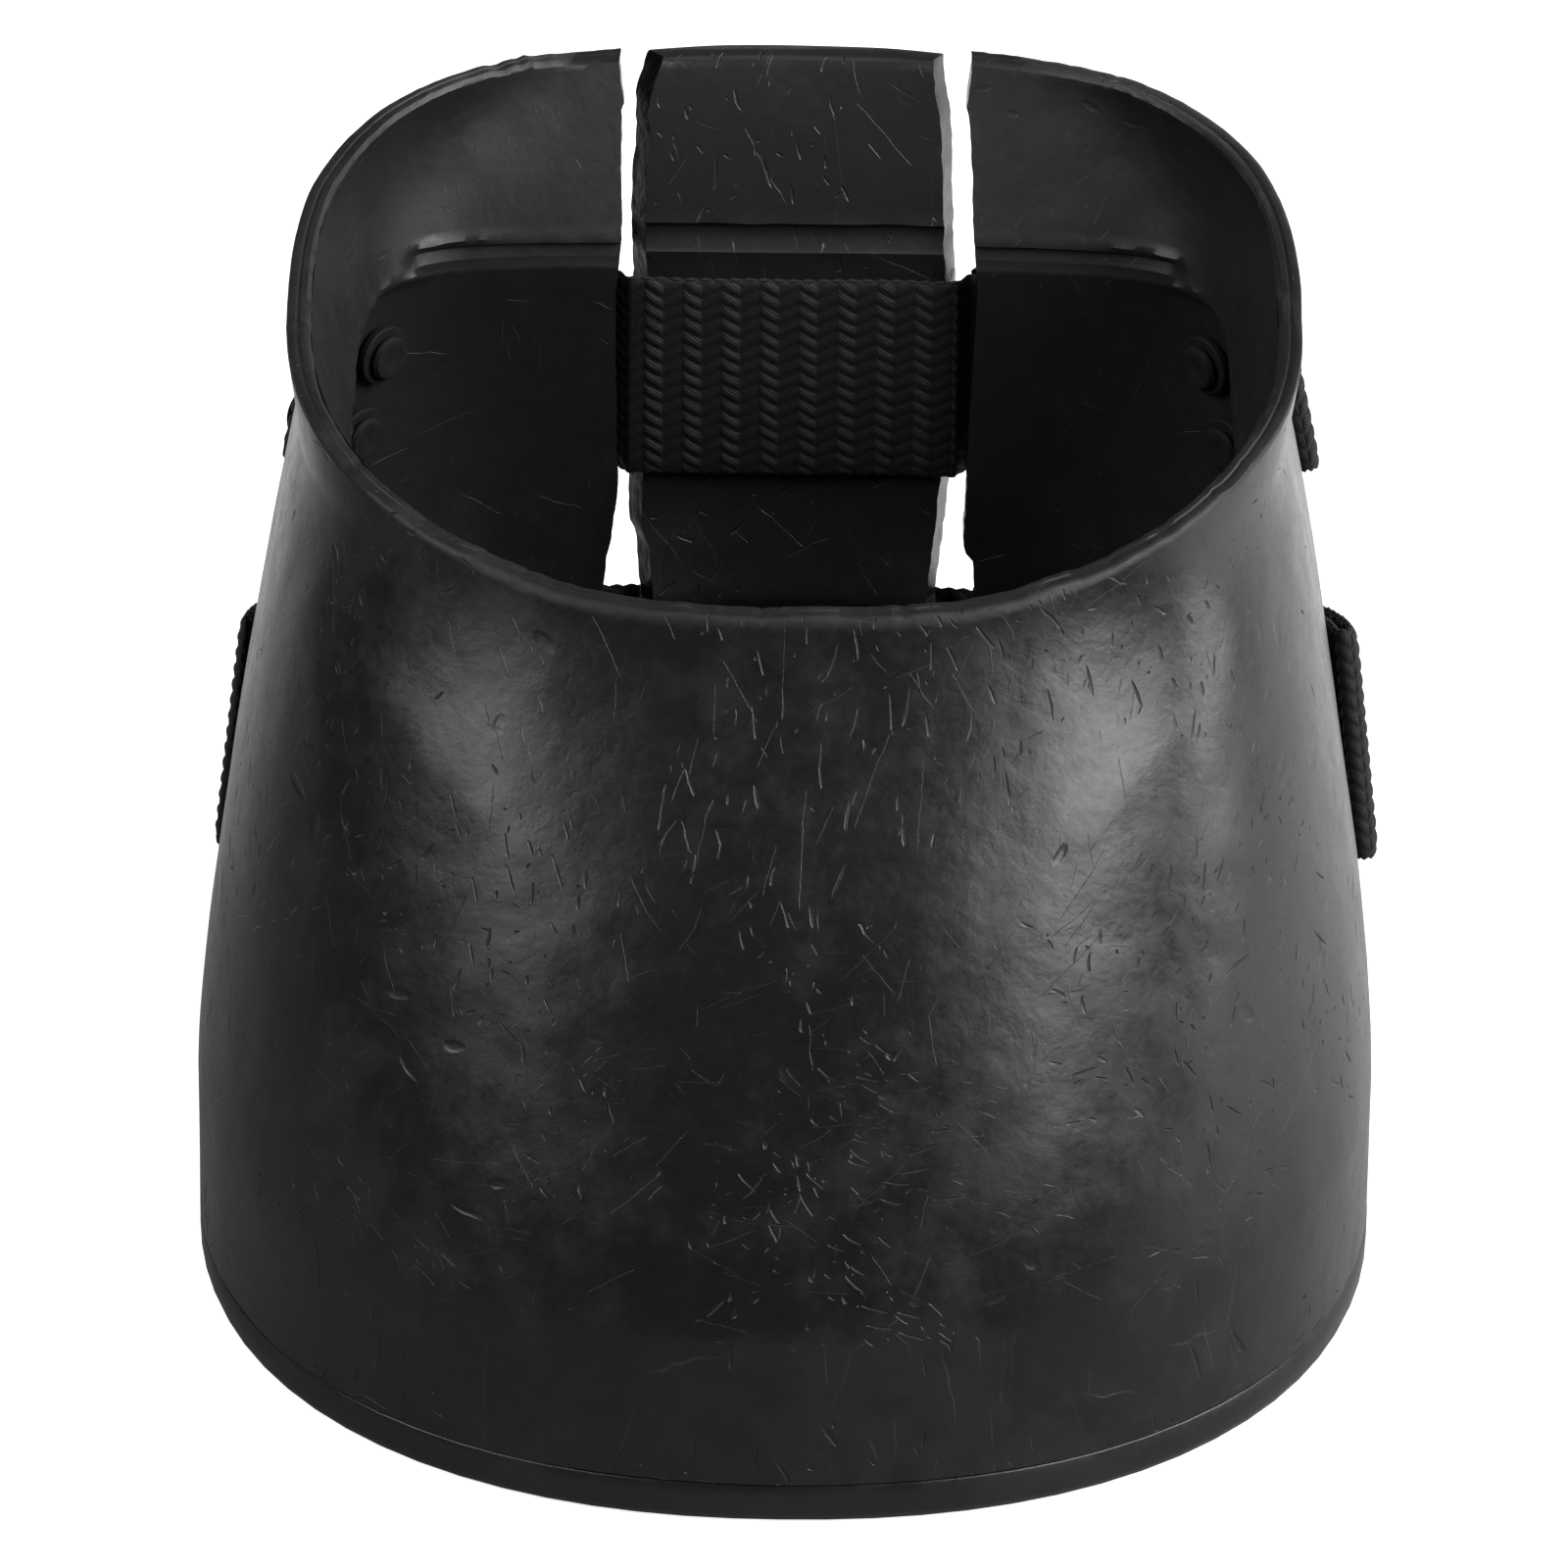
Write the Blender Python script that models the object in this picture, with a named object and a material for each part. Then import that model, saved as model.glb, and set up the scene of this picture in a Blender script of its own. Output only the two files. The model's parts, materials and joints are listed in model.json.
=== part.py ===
"""Pull-on rubber hoof boot with two webbing heel straps.

The shell is moulded in one piece, with a flared collar above a D-shaped waist. Two slits down the heel
free a tongue. The upper strap runs inside the tongue and the lower one outside it. Each strap is riveted
on the left, passes through a steel ring on the right and turns back on a hook and loop closure.

Metres, +Z up, toe towards -Y. The origin is the middle of the base, on the ground.
"""

import math

import bmesh
import bpy
from mathutils import Matrix, Vector

# Clearance between pieces that touch, and the length by which every cutter runs past what it cuts
GAP = 0.0003
OVERRUN = 0.006

# Outline of the wall at the base
BASE_HALF_WIDTH = 0.0748
BASE_TOE_REACH = 0.0746
BASE_HEEL_REACH = 0.0720
WALL_FOOT_SHARE = 0.192
BASE_SQUARENESS = 2.3

# Outline of the wall at the waist, where the collar starts
WAIST_HEIGHT_SHARE = 0.8135
WAIST_HALF_WIDTH = 0.0618
WAIST_TOE_REACH = 0.0305
WAIST_HEEL_REACH = 0.0630
WAIST_CENTRE = 0.0170
WAIST_SQUARENESS = 5.0

# Outline and height of the rim. The shares of height here and above are of its height at the heel
RIM_HALF_WIDTH = 0.0637
RIM_TOE_REACH = 0.0330
RIM_HEEL_REACH = 0.0754
RIM_SQUARENESS = 2.6
RIM_HEEL_HEIGHT = 0.1306
RIM_TOE_SHARE = 0.8015
RIM_RISE_START = math.radians(16)
RIM_RISE_END = math.radians(145)
TOE_COLLAR = 0.0020

# How the outline changes between those heights, and how round the toe half is
SIDE_CURVE = 1.38
TOE_CURVE = 1.2
HEEL_CURVE = 1.3
CENTRE_CURVE = 1.4
SQUARENESS_CURVE = 1.4
COLLAR_CURVE = 1.15
TOE_SQUARENESS = 2.2

# Wall
WALL = 0.0042
RIM_WALL = 0.0031
RIM_ROUND = 0.0005
FLOOR = 0.0042
ANGLE_STEPS = 80
HALVINGS = 26
BODY_LEVEL_SHARES = (0, 0.12, 0.25, 0.38, 0.5, 0.62, 0.74, 0.85, 0.94, 1)
COLLAR_LEVEL_SHARES = (0, 0.15, 0.35, 0.6, 0.82)

# Groove that the mould leaves inside the heel, at the waist
GROOVE_DEPTH = 0.0011
GROOVE_HEIGHT = 0.0032
GROOVE_END = math.radians(50)
GROOVE_RUNOUT_CURVE = 0.25

# Outsole
SOLE_HEIGHT = 0.0055
SOLE_EDGE_ROUND = 0.0014
EDGE_STEPS = 2
SEAM_CHAMFER = 0.0002
TREAD_MARGIN = 0.0090
TREAD_DEPTH = 0.0022
TREAD_GROOVE = 0.0040
TREAD_PITCH = 0.0150
TREAD_RISE = 0.0240

# Heel tongue and slits
TONGUE_HALF_WIDTH = 0.0201
TONGUE_SLANT = 0.0014
SLIT_WIDTH = 0.0021
SLIT_DEPTH_SHARE = 0.583
NOTCH_HEIGHT = 0.0080
NOTCH_DROP = 0.0036
NOTCH_STEP = 0.0014
NOTCH_STEPS = 3
TONGUE_TOP_LEAN = 0.0003
TONGUE_LEVEL_SHARES = (0, 0.05, 0.1, 0.16, 0.23, 0.32, 0.44, 0.56, 0.64)
TONGUE_COLLAR_SHARES = (0, 0.25, 0.5, 0.75, 0.98, 1)
TONGUE_COLUMN_SHARES = (-1, -0.5, 0, 0.5, 1)

# Webbing
WEB_WIDTH = 0.0300
WEB = 0.0018
LAYER_GAP = 0.00015
ROW_STEP = 0.0028
FOLD_LEAD = 0.0040
BULGE_SHARES = (-0.95, -0.6, -0.3, 0, 0.3, 0.6, 0.95)
RISE_START = math.radians(58)
RISE_CURVE = 1.5
UPPER_STRAP_DROP = 0.0190
UPPER_STRAP_RISE = 0.0115
UPPER_STRAP_REACH = 0.0681
UPPER_RISE_END = math.radians(30)
LOWER_STRAP_DROP = 0.0012
LOWER_STRAP_RISE = 0.0165
LOWER_STRAP_REACH = 0.0935
LOWER_RISE_END = math.radians(17)
STRAP_DIP = 0.0016

# Ring, with the play that lets it rock
WIRE_RADIUS = 0.00125
RING_SPAN = 0.0105
RING_SIDE_CLEARANCE = 0.0014
RING_CORNER = 0.0023
CORNER_STEPS = 3
RING_PLAY = 0.0007
UPPER_TAB_LENGTH = 0.0165
LOWER_TAB_LENGTH = 0.0300
TAB_TAPER = 0.0056
FOLD_STEPS = 8

# Hook and loop closure
UPPER_TAIL_LENGTH = 0.0184
LOWER_TAIL_LENGTH = 0.0300
TAIL_CLIP = 0.0030
PATCH_MARGIN = 0.0020
PATCH_END_MARGIN = 0.0035

# Rivets and the washers that they are set over
SHANK_RADIUS = 0.0018
HEAD_RADIUS = 0.0038
HEAD_HEIGHT = 0.0011
SET_RADIUS = 0.0030
SET_HEIGHT = 0.0011
WASHER_RADIUS = 0.0040
WASHER = 0.0009
UPPER_RIVET_INSET = 0.0068
LOWER_RIVET_INSET = 0.0135
RIVET_SPREAD = 0.0055
UPPER_RIVET_DROP = 0.0045
LOWER_RIVET_DROP = 0.0
ROUND_STEPS = 14
HEAD_SHARES = ((1, 0), (0.97, 0.35), (0.78, 0.75), (0.42, 1))

# Worked out from the sizes above
ANGLES = [math.tau * step / ANGLE_STEPS for step in range(ANGLE_STEPS)]
WALL_FOOT_HEIGHT = RIM_HEEL_HEIGHT * WALL_FOOT_SHARE
WAIST_HEIGHT = RIM_HEEL_HEIGHT * WAIST_HEIGHT_SHARE
RIM_TOE_HEIGHT = RIM_HEEL_HEIGHT * RIM_TOE_SHARE
SHELL_BOTTOM = SOLE_HEIGHT + GAP
TONGUE_ROOT = RIM_HEEL_HEIGHT * (1 - SLIT_DEPTH_SHARE)
SLIT_EDGE = TONGUE_HALF_WIDTH + SLIT_WIDTH
BAR_HEIGHT = GAP + WEB + GAP + WIRE_RADIUS
TAIL_HEIGHT = BAR_HEIGHT + WIRE_RADIUS + RING_PLAY + GAP
STRAP_FOLD_RADIUS = (TAIL_HEIGHT - GAP - WEB) / 2
STRAP_FOLD_ALONG = WIRE_RADIUS + GAP - STRAP_FOLD_RADIUS - RING_SPAN / 2
PATCH = (TAIL_HEIGHT - GAP - WEB - 3 * GAP) / 2
HOLE_RADIUS = SHANK_RADIUS + GAP
UPPER_HEEL_HEIGHT = WAIST_HEIGHT - UPPER_STRAP_DROP
LOWER_HEEL_HEIGHT = TONGUE_ROOT - LOWER_STRAP_DROP - WEB_WIDTH / 2


def mix(low, high, share):
    return low + (high - low) * share


def ease(share):
    """A share from 0 to 1 that starts and ends gently."""
    share = min(max(share, 0), 1)
    return share * share * (3 - 2 * share)


# Wall surface


def rim_height(angle):
    from_toe = abs(math.remainder(angle + math.pi / 2, math.tau))
    rise = ease((from_toe - RIM_RISE_START) / (RIM_RISE_END - RIM_RISE_START))
    return mix(RIM_TOE_HEIGHT, RIM_HEEL_HEIGHT, rise)


def collar_foot(angle):
    """Height at which the collar starts: the waist, or just below the rim at the toe."""
    return min(WAIST_HEIGHT, rim_height(angle) - TOE_COLLAR)


def body_share(height):
    return min(max((height - WALL_FOOT_HEIGHT) / (WAIST_HEIGHT - WALL_FOOT_HEIGHT), 0), 1)


def centre_at(height):
    return WAIST_CENTRE * body_share(height) ** CENTRE_CURVE


def outline_radius(angle, height):
    """Distance from the middle of the outline to the outer wall."""
    foot = collar_foot(angle)
    body = body_share(min(height, foot))
    half_width = mix(BASE_HALF_WIDTH, WAIST_HALF_WIDTH, body**SIDE_CURVE)
    toe_reach = mix(BASE_TOE_REACH, WAIST_TOE_REACH, body**TOE_CURVE)
    heel_reach = mix(BASE_HEEL_REACH, WAIST_HEEL_REACH, body**HEEL_CURVE)
    squareness = mix(BASE_SQUARENESS, WAIST_SQUARENESS, body**SQUARENESS_CURVE)
    if height > foot:
        collar = min((height - foot) / (rim_height(angle) - foot), 1) ** COLLAR_CURVE
        half_width = mix(half_width, RIM_HALF_WIDTH, collar)
        toe_reach = mix(toe_reach, RIM_TOE_REACH, collar)
        heel_reach = mix(heel_reach, RIM_HEEL_REACH, collar)
        squareness = mix(squareness, RIM_SQUARENESS, collar)
    reach = heel_reach - centre_at(height)
    if math.sin(angle) < 0:
        reach = toe_reach + centre_at(height)
        squareness = TOE_SQUARENESS
    across = abs(math.cos(angle)) / half_width
    along = abs(math.sin(angle)) / reach
    return (across**squareness + along**squareness) ** (-1 / squareness)


def outer_point(angle, height):
    radius = outline_radius(angle, height)
    return Vector((radius * math.cos(angle), centre_at(height) + radius * math.sin(angle), height))


def outer_normal(angle, height):
    """Outward direction of the wall, from its slopes round the outline and up the wall."""
    turn = math.tau / ANGLE_STEPS / 8
    climb = RIM_ROUND
    round_slope = outer_point(angle + turn, height) - outer_point(angle - turn, height)
    up_slope = outer_point(angle, height) - outer_point(angle, height - climb)
    return round_slope.cross(up_slope).normalized()


def wall_point(angle, height, depth):
    """Point inside the wall, at the same height, with this much rubber between it and the outer face."""
    normal = outer_normal(angle, height)
    level = Vector((normal.x, normal.y, 0))
    return outer_point(angle, height) - level.normalized() * depth / level.length


def wall_at(height):
    """Thickness of the wall, which thins from the waist to the rim."""
    collar = (height - WAIST_HEIGHT) / (RIM_HEEL_HEIGHT - WAIST_HEIGHT)
    return mix(WALL, RIM_WALL, min(max(collar, 0), 1))


def is_outside(point):
    height = point.z
    offset = Vector((point.x, point.y - centre_at(height)))
    return offset.length > outline_radius(math.atan2(offset.y, offset.x), height)


def distance_to_wall(point, direction):
    """Signed distance from a point along a direction to the outer face of the wall."""
    low = -BASE_HALF_WIDTH / 4
    high = BASE_HALF_WIDTH / 4
    for _ in range(HALVINGS):
        middle = (low + high) / 2
        if is_outside(point + direction * middle):
            high = middle
        else:
            low = middle
    return (low + high) / 2


# Meshes and objects


def finished(name, mesh, material, pivot=None):
    """New object for a mesh in world coordinates, with its origin moved to the pivot."""
    thing = bpy.data.objects.new(name, mesh)
    bpy.context.scene.collection.objects.link(thing)
    if pivot is not None:
        mesh.transform(Matrix.Translation(-pivot))
        thing.location = pivot
    mesh.materials.append(material)
    mesh.shade_smooth()
    mesh.set_sharp_from_angle(angle=math.radians(35))
    return thing


def loft(mesh_name, groups):
    """Mesh with one closed skin for each group of rings, capped at both ends."""
    builder = bmesh.new()
    for rings in groups:
        loops = [[builder.verts.new(point) for point in ring] for ring in rings]
        count = len(loops[0])
        for low, high in zip(loops, loops[1:]):
            for index in range(count):
                after = (index + 1) % count
                builder.faces.new((low[index], low[after], high[after], high[index]))
        builder.faces.new(reversed(loops[0]))
        builder.faces.new(loops[-1])
    bmesh.ops.recalc_face_normals(builder, faces=builder.faces)
    mesh = bpy.data.meshes.new(mesh_name)
    builder.to_mesh(mesh)
    builder.free()
    return mesh


def circle(frame, radius, height):
    points = []
    for step in range(ROUND_STEPS):
        turn = math.tau * step / ROUND_STEPS
        points.append(frame @ Vector((radius * math.cos(turn), radius * math.sin(turn), height)))
    return points


def turned(frame, profile):
    """Rings of a turned piece: radius and height pairs, from one end of its axis to the other."""
    return [circle(frame, radius, height) for radius, height in profile]


def cutter(name, groups):
    thing = bpy.data.objects.new(name, loft(name, groups))
    bpy.context.scene.collection.objects.link(thing)
    thing.hide_render = True
    thing.display_type = "WIRE"
    return thing


def combine(target, tool, operation="DIFFERENCE"):
    boolean = target.modifiers.new(tool.name, "BOOLEAN")
    boolean.operation = operation
    boolean.solver = "EXACT"
    boolean.object = tool


def painted(name, colour, roughness, metallic=0.0):
    material = bpy.data.materials.new(name)
    material.use_nodes = True
    shader = material.node_tree.nodes["Principled BSDF"]
    shader.inputs["Base Color"].default_value = (*colour, 1)
    shader.inputs["Roughness"].default_value = roughness
    shader.inputs["Metallic"].default_value = metallic
    return material


# Straps on the wall


class Band:
    """Way of a strap round the heel. Distances run from the middle of the heel, positive to the right."""

    def __init__(self, heel_height, rise, rise_end, reach, tab_length, tail_length):
        steps = ANGLE_STEPS * 6
        level = math.cos(RISE_START)
        climb = math.cos(rise_end) - level
        self.points = []
        for step in range(steps + 1):
            angle = math.pi * (1 - step / steps)
            height = heel_height + rise * max((abs(math.cos(angle)) - level) / climb, 0) ** RISE_CURVE
            self.points.append(outer_point(angle, height))
        self.distances = [0]
        for before, after in zip(self.points, self.points[1:]):
            self.distances.append(self.distances[-1] + (after - before).length)
        middle = self.distances[-1] / 2
        self.distances = [distance - middle for distance in self.distances]
        self.end = reach
        self.tail_length = tail_length
        self.front_bar = self.end - tab_length
        self.rear_bar = self.front_bar - RING_SPAN
        self.ring_frame = self.frame((self.front_bar + self.rear_bar) / 2, RING_SPAN / 2)

    def centre(self, distance):
        index = 1
        while index < len(self.distances) - 1 and self.distances[index] < distance:
            index += 1
        start, stop = self.distances[index - 1], self.distances[index]
        return self.points[index - 1].lerp(self.points[index], (distance - start) / (stop - start))

    def frame(self, distance, reach=ROW_STEP):
        """X runs along the band, Y down across it and Z out, with all the wall within reach below Z = 0."""
        centre = self.centre(distance)
        along = (self.centre(distance + ROW_STEP / 2) - self.centre(distance - ROW_STEP / 2)).normalized()
        offset = Vector((centre.x, centre.y - centre_at(centre.z)))
        out = outer_normal(math.atan2(offset.y, offset.x), centre.z)
        across = out.cross(along).normalized()
        edges = []
        for side in (-1, 1):
            edge = centre + across * side * WEB_WIDTH / 2
            edges.append(edge + out * distance_to_wall(edge, out))
        across = (edges[1] - edges[0]).normalized()
        out = along.cross(across).normalized()
        along = across.cross(out)
        middle = (edges[0] + edges[1]) / 2
        bulge = 0
        for step in (-1, 0, 1):
            for share in BULGE_SHARES:
                point = middle + along * step * reach + across * share * WEB_WIDTH / 2
                bulge = max(bulge, distance_to_wall(point, out))
        frame = Matrix((along, across, out)).transposed().to_4x4()
        frame.translation = middle + out * (bulge + LAYER_GAP)
        return frame

    def rows(self, start, stop, height, thickness, width, drop=None):
        """Rings of a flat layer on the band between two distances. A drop sinks it at some of them."""
        count = max(round(abs(stop - start) / ROW_STEP), 1)
        rings = []
        for step in range(count + 1):
            distance = mix(start, stop, step / count)
            lift = height - (drop(distance) if drop else 0)
            rings.append(web_ring(self.frame(distance), 0, lift, thickness, width))
        return rings


def web_ring(frame, along, height, thickness, width):
    """Four corners of a section across the webbing, at a distance along a frame."""
    low = Vector((along, 0, height))
    high = Vector((along, 0, height + thickness))
    half = Vector((0, width / 2, 0))
    return [frame @ corner for corner in (low - half, low + half, high + half, high - half)]


def heel_dip(distance):
    """How far the upper strap sinks between the flaps, where it passes inside the tongue."""
    start = SLIT_EDGE - GAP
    stop = TONGUE_HALF_WIDTH - GAP
    return STRAP_DIP * min(max((start - abs(distance)) / (start - stop), 0), 1)


def fold(frame, along, height, radius, direction):
    """Rings of webbing turned round a bar, from its wall side to its outer side."""
    rings = []
    for step in range(FOLD_STEPS + 1):
        turn = math.pi * step / FOLD_STEPS
        inner = Vector((direction * math.sin(turn), 0, -math.cos(turn)))
        centre = Vector((along, 0, height))
        half = Vector((0, WEB_WIDTH / 2, 0))
        near = centre + inner * radius
        far = centre + inner * (radius + WEB)
        rings.append([frame @ corner for corner in (far - half, far + half, near + half, near - half)])
    return rings


def strap(name, band, material, drop):
    """The long run of webbing, from its riveted left end to the fold round the ring's rear bar."""
    flap = SLIT_EDGE - GAP
    tongue = TONGUE_HALF_WIDTH - GAP
    stops = [-band.end, -flap, -tongue, tongue, flap, band.rear_bar - FOLD_LEAD]
    rings = []
    for start, stop in zip(stops, stops[1:]):
        piece = band.rows(start, stop, GAP, WEB, WEB_WIDTH, drop)
        rings += piece if not rings else piece[1:]
    rings += fold(band.ring_frame, STRAP_FOLD_ALONG, GAP + WEB + STRAP_FOLD_RADIUS, STRAP_FOLD_RADIUS, 1)
    return finished(name, loft(name, [rings]), material)


def ring_tab(name, band, material):
    """Short webbing loop: along the wall, round the ring's front bar and back on itself."""
    radius = WIRE_RADIUS + GAP
    front = band.front_bar
    rings = band.rows(band.end, front + FOLD_LEAD, GAP, WEB, WEB_WIDTH)
    rings += fold(band.ring_frame, RING_SPAN / 2, BAR_HEIGHT, radius, -1)
    upper_start = BAR_HEIGHT + radius
    upper_stop = GAP + WEB + LAYER_GAP
    back_run = [web_ring(band.ring_frame, RING_SPAN / 2 + WIRE_RADIUS, upper_start, WEB, WEB_WIDTH)]
    count = round(TAB_TAPER / ROW_STEP)
    for step in range(1, count + 1):
        share = step / count
        height = mix(upper_start, upper_stop, ease(share))
        back_run.append(web_ring(band.frame(front + TAB_TAPER * share), 0, height, WEB, WEB_WIDTH))
    back_run += band.rows(front + TAB_TAPER, band.end, upper_stop, WEB, WEB_WIDTH)[1:]
    rings += [ring[::-1] for ring in back_run]
    return finished(name, loft(name, [rings]), material)


def strap_tail(name, band, material):
    """Free end of the strap, back over the closure. It turns about the outer edge of the fold."""
    start = STRAP_FOLD_ALONG - GAP
    pivot = band.ring_frame @ Vector((start, 0, TAIL_HEIGHT + WEB))
    rings = [web_ring(band.ring_frame, start, TAIL_HEIGHT, WEB, WEB_WIDTH)]
    tip = band.rear_bar - band.tail_length
    rings += band.rows(band.rear_bar - FOLD_LEAD, tip + TAIL_CLIP, TAIL_HEIGHT, WEB, WEB_WIDTH)
    rings.append(web_ring(band.frame(tip), 0, TAIL_HEIGHT, WEB, WEB_WIDTH - 2 * TAIL_CLIP))
    return finished(name, loft(name, [rings]), material, pivot)


def patch(name, band, height, material, tail=None):
    """Half of the hook and loop closure, between the strap and its tail."""
    start = band.rear_bar - FOLD_LEAD - PATCH_END_MARGIN
    stop = band.rear_bar - band.tail_length + TAIL_CLIP + GAP
    mesh = loft(name, [band.rows(start, stop, height, PATCH, WEB_WIDTH - 2 * PATCH_MARGIN)])
    if tail is None:
        return finished(name, mesh, material)
    thing = finished(name, mesh, material, tail.location)
    thing.location = Vector()
    thing.parent = tail
    return thing


def wire_ring(name, band, material):
    """Rounded rectangle of wire. Its front bar lies in the tab and its rear bar in the strap."""
    half_width = WEB_WIDTH / 2 + RING_SIDE_CLEARANCE + WIRE_RADIUS
    half_span = RING_SPAN / 2
    pivot = band.ring_frame @ Vector((half_span, 0, BAR_HEIGHT))
    wire = bpy.data.curves.new(name, "CURVE")
    wire.dimensions = "3D"
    wire.bevel_depth = WIRE_RADIUS
    wire.bevel_resolution = 2
    corners = []
    for quarter in range(4):
        side_x = 1 if quarter in (0, 3) else -1
        side_y = 1 if quarter in (0, 1) else -1
        middle = Vector((half_span - RING_CORNER, half_width - RING_CORNER, BAR_HEIGHT))
        middle = Vector((side_x * middle.x, side_y * middle.y, middle.z))
        for step in range(CORNER_STEPS + 1):
            turn = math.pi / 2 * (quarter + step / CORNER_STEPS)
            corners.append(middle + RING_CORNER * Vector((math.cos(turn), math.sin(turn), 0)))
    spline = wire.splines.new("POLY")
    spline.points.add(len(corners) - 1)
    spline.use_cyclic_u = True
    for point, corner in zip(spline.points, corners):
        point.co = (*(band.ring_frame @ corner - pivot), 1)
    wire.materials.append(material)
    thing = bpy.data.objects.new(name, wire)
    bpy.context.scene.collection.objects.link(thing)
    thing.location = pivot
    return thing


# Rivets


def rivet_frames(band, distance, drop):
    """Frames of two rivets, one above the other across the band."""
    frame = band.frame(distance)
    return [frame @ Matrix.Translation((0, drop + side * RIVET_SPREAD, 0)) for side in (-1, 1)]


def washer_seat(frame):
    """Height below the band, in its frame, at which a washer clears the inner face of the wall all round."""
    out = frame.to_3x3().col[2].normalized()
    heights = []
    for point in circle(frame, WASHER_RADIUS, 0):
        reach = distance_to_wall(point, out)
        skin = point + out * reach
        offset = Vector((skin.x, skin.y - centre_at(skin.z)))
        facing = outer_normal(math.atan2(offset.y, offset.x), skin.z).dot(out)
        heights.append(reach - wall_at(skin.z) / facing)
    return min(heights) - GAP


def rivet_set(prefix, frames, grip, metal):
    """Rivets with their heads over a grip of webbing, and the washers inside. Returns their holes."""
    holes = []
    for number, frame in enumerate(frames, 1):
        under_head = grip + GAP
        seat = washer_seat(frame)
        under_set = seat - WASHER - GAP
        profile = [(SET_RADIUS - GAP, under_set - SET_HEIGHT), (SET_RADIUS, under_set)]
        profile += [(SHANK_RADIUS, under_set), (SHANK_RADIUS, under_head)]
        for share, lift in HEAD_SHARES:
            profile.append((HEAD_RADIUS * share, under_head + HEAD_HEIGHT * lift))
        name = f"{prefix}_rivet_{number}"
        finished(name, loft(name, [turned(frame, profile)]), metal)
        section = [(WASHER_RADIUS, seat - WASHER), (WASHER_RADIUS, seat), (HOLE_RADIUS, seat)]
        section.append((HOLE_RADIUS, seat - WASHER))
        name = f"{prefix}_washer_{number}"
        finished(name, tube(name, turned(frame, section)), metal)
        holes.append(turned(frame, [(HOLE_RADIUS, seat - OVERRUN), (HOLE_RADIUS, under_head + OVERRUN)]))
    return holes


def tube(mesh_name, rings):
    """Mesh of a ring round a hole, from the rings at the corners of its section."""
    builder = bmesh.new()
    loops = [[builder.verts.new(point) for point in ring] for ring in rings]
    for index, loop in enumerate(loops):
        following = loops[(index + 1) % len(loops)]
        for step in range(ROUND_STEPS):
            after = (step + 1) % ROUND_STEPS
            builder.faces.new((loop[step], loop[after], following[after], following[step]))
    bmesh.ops.recalc_face_normals(builder, faces=builder.faces)
    mesh = bpy.data.meshes.new(mesh_name)
    builder.to_mesh(mesh)
    builder.free()
    return mesh


# Rubber pieces


def level_ring(height, depth):
    return [wall_point(angle, height, depth) for angle in ANGLES]


def shell_rings():
    """Rings of the shell: up the outer face, over the rim and down the inner face to the floor."""
    outer = [level_ring(SHELL_BOTTOM, SEAM_CHAMFER), level_ring(SHELL_BOTTOM + SEAM_CHAMFER, 0)]
    outer += [body_ring(share, 0) for share in BODY_LEVEL_SHARES]
    outer += [collar_ring(share, 0, 0) for share in COLLAR_LEVEL_SHARES[1:]]
    rim = [collar_ring(1, -RIM_ROUND, 0), collar_ring(1, 0, RIM_ROUND)]
    rim += [collar_ring(1, 0, RIM_WALL - RIM_ROUND), collar_ring(1, -RIM_ROUND, RIM_WALL)]
    inner = []
    for share in reversed(COLLAR_LEVEL_SHARES[1:]):
        inner.append(collar_ring(share, 0, mix(WALL, RIM_WALL, share)))
    inner += [body_ring(share, WALL) for share in reversed(BODY_LEVEL_SHARES)]
    inner.append(level_ring(SHELL_BOTTOM + FLOOR, WALL))
    return outer + rim + inner


def body_ring(share, depth):
    """Ring between the foot of the wall and the foot of the collar."""
    points = []
    for angle in ANGLES:
        height = mix(WALL_FOOT_HEIGHT, collar_foot(angle), share)
        points.append(wall_point(angle, height, depth))
    return points


def collar_ring(share, lift, depth):
    """Ring between the foot of the collar and the rim, which climbs towards the heel."""
    points = []
    for angle in ANGLES:
        height = mix(collar_foot(angle), rim_height(angle), share) + lift
        points.append(wall_point(angle, height, depth))
    return points


def heel_window():
    """Outline, seen from behind, of the two slits, their notches and the tongue between them."""
    notch_top = TONGUE_ROOT + NOTCH_HEIGHT
    notch_outer = SLIT_EDGE + NOTCH_STEP
    notch_inner = TONGUE_HALF_WIDTH - NOTCH_STEP
    middle = (notch_outer + notch_inner) / 2
    radius = (notch_outer - notch_inner) / 2
    top = RIM_HEEL_HEIGHT + OVERRUN
    half = [(0, TONGUE_ROOT), (notch_inner, TONGUE_ROOT)]
    for step in range(2 * NOTCH_STEPS + 1):
        turn = math.pi + math.pi / 2 * step / NOTCH_STEPS
        drop = NOTCH_DROP - radius * math.sin(turn)
        half.append((middle + radius * math.cos(turn), TONGUE_ROOT - drop))
    for step in range(NOTCH_STEPS + 1):
        turn = math.pi / 2 * step / NOTCH_STEPS
        half.append((SLIT_EDGE + NOTCH_STEP * math.cos(turn), notch_top + NOTCH_STEP * math.sin(turn)))
    half.append((SLIT_EDGE, top))
    return half + [(-x, z) for x, z in reversed(half[1:])]


def boot_shell(material, holes):
    shell = finished("boot_shell", loft("boot_shell", [shell_rings()]), material)
    outline = heel_window()
    inside = WAIST_HEEL_REACH - WALL - OVERRUN
    outside = RIM_HEEL_REACH + OVERRUN
    window = [[Vector((x, y, z)) for x, z in outline] for y in (inside, outside)]
    combine(shell, cutter("heel_window_cutter", [window]))
    combine(shell, cutter("groove_cutter", [groove_rings()]))
    combine(shell, cutter("wall_hole_cutter", holes))
    return shell


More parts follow.
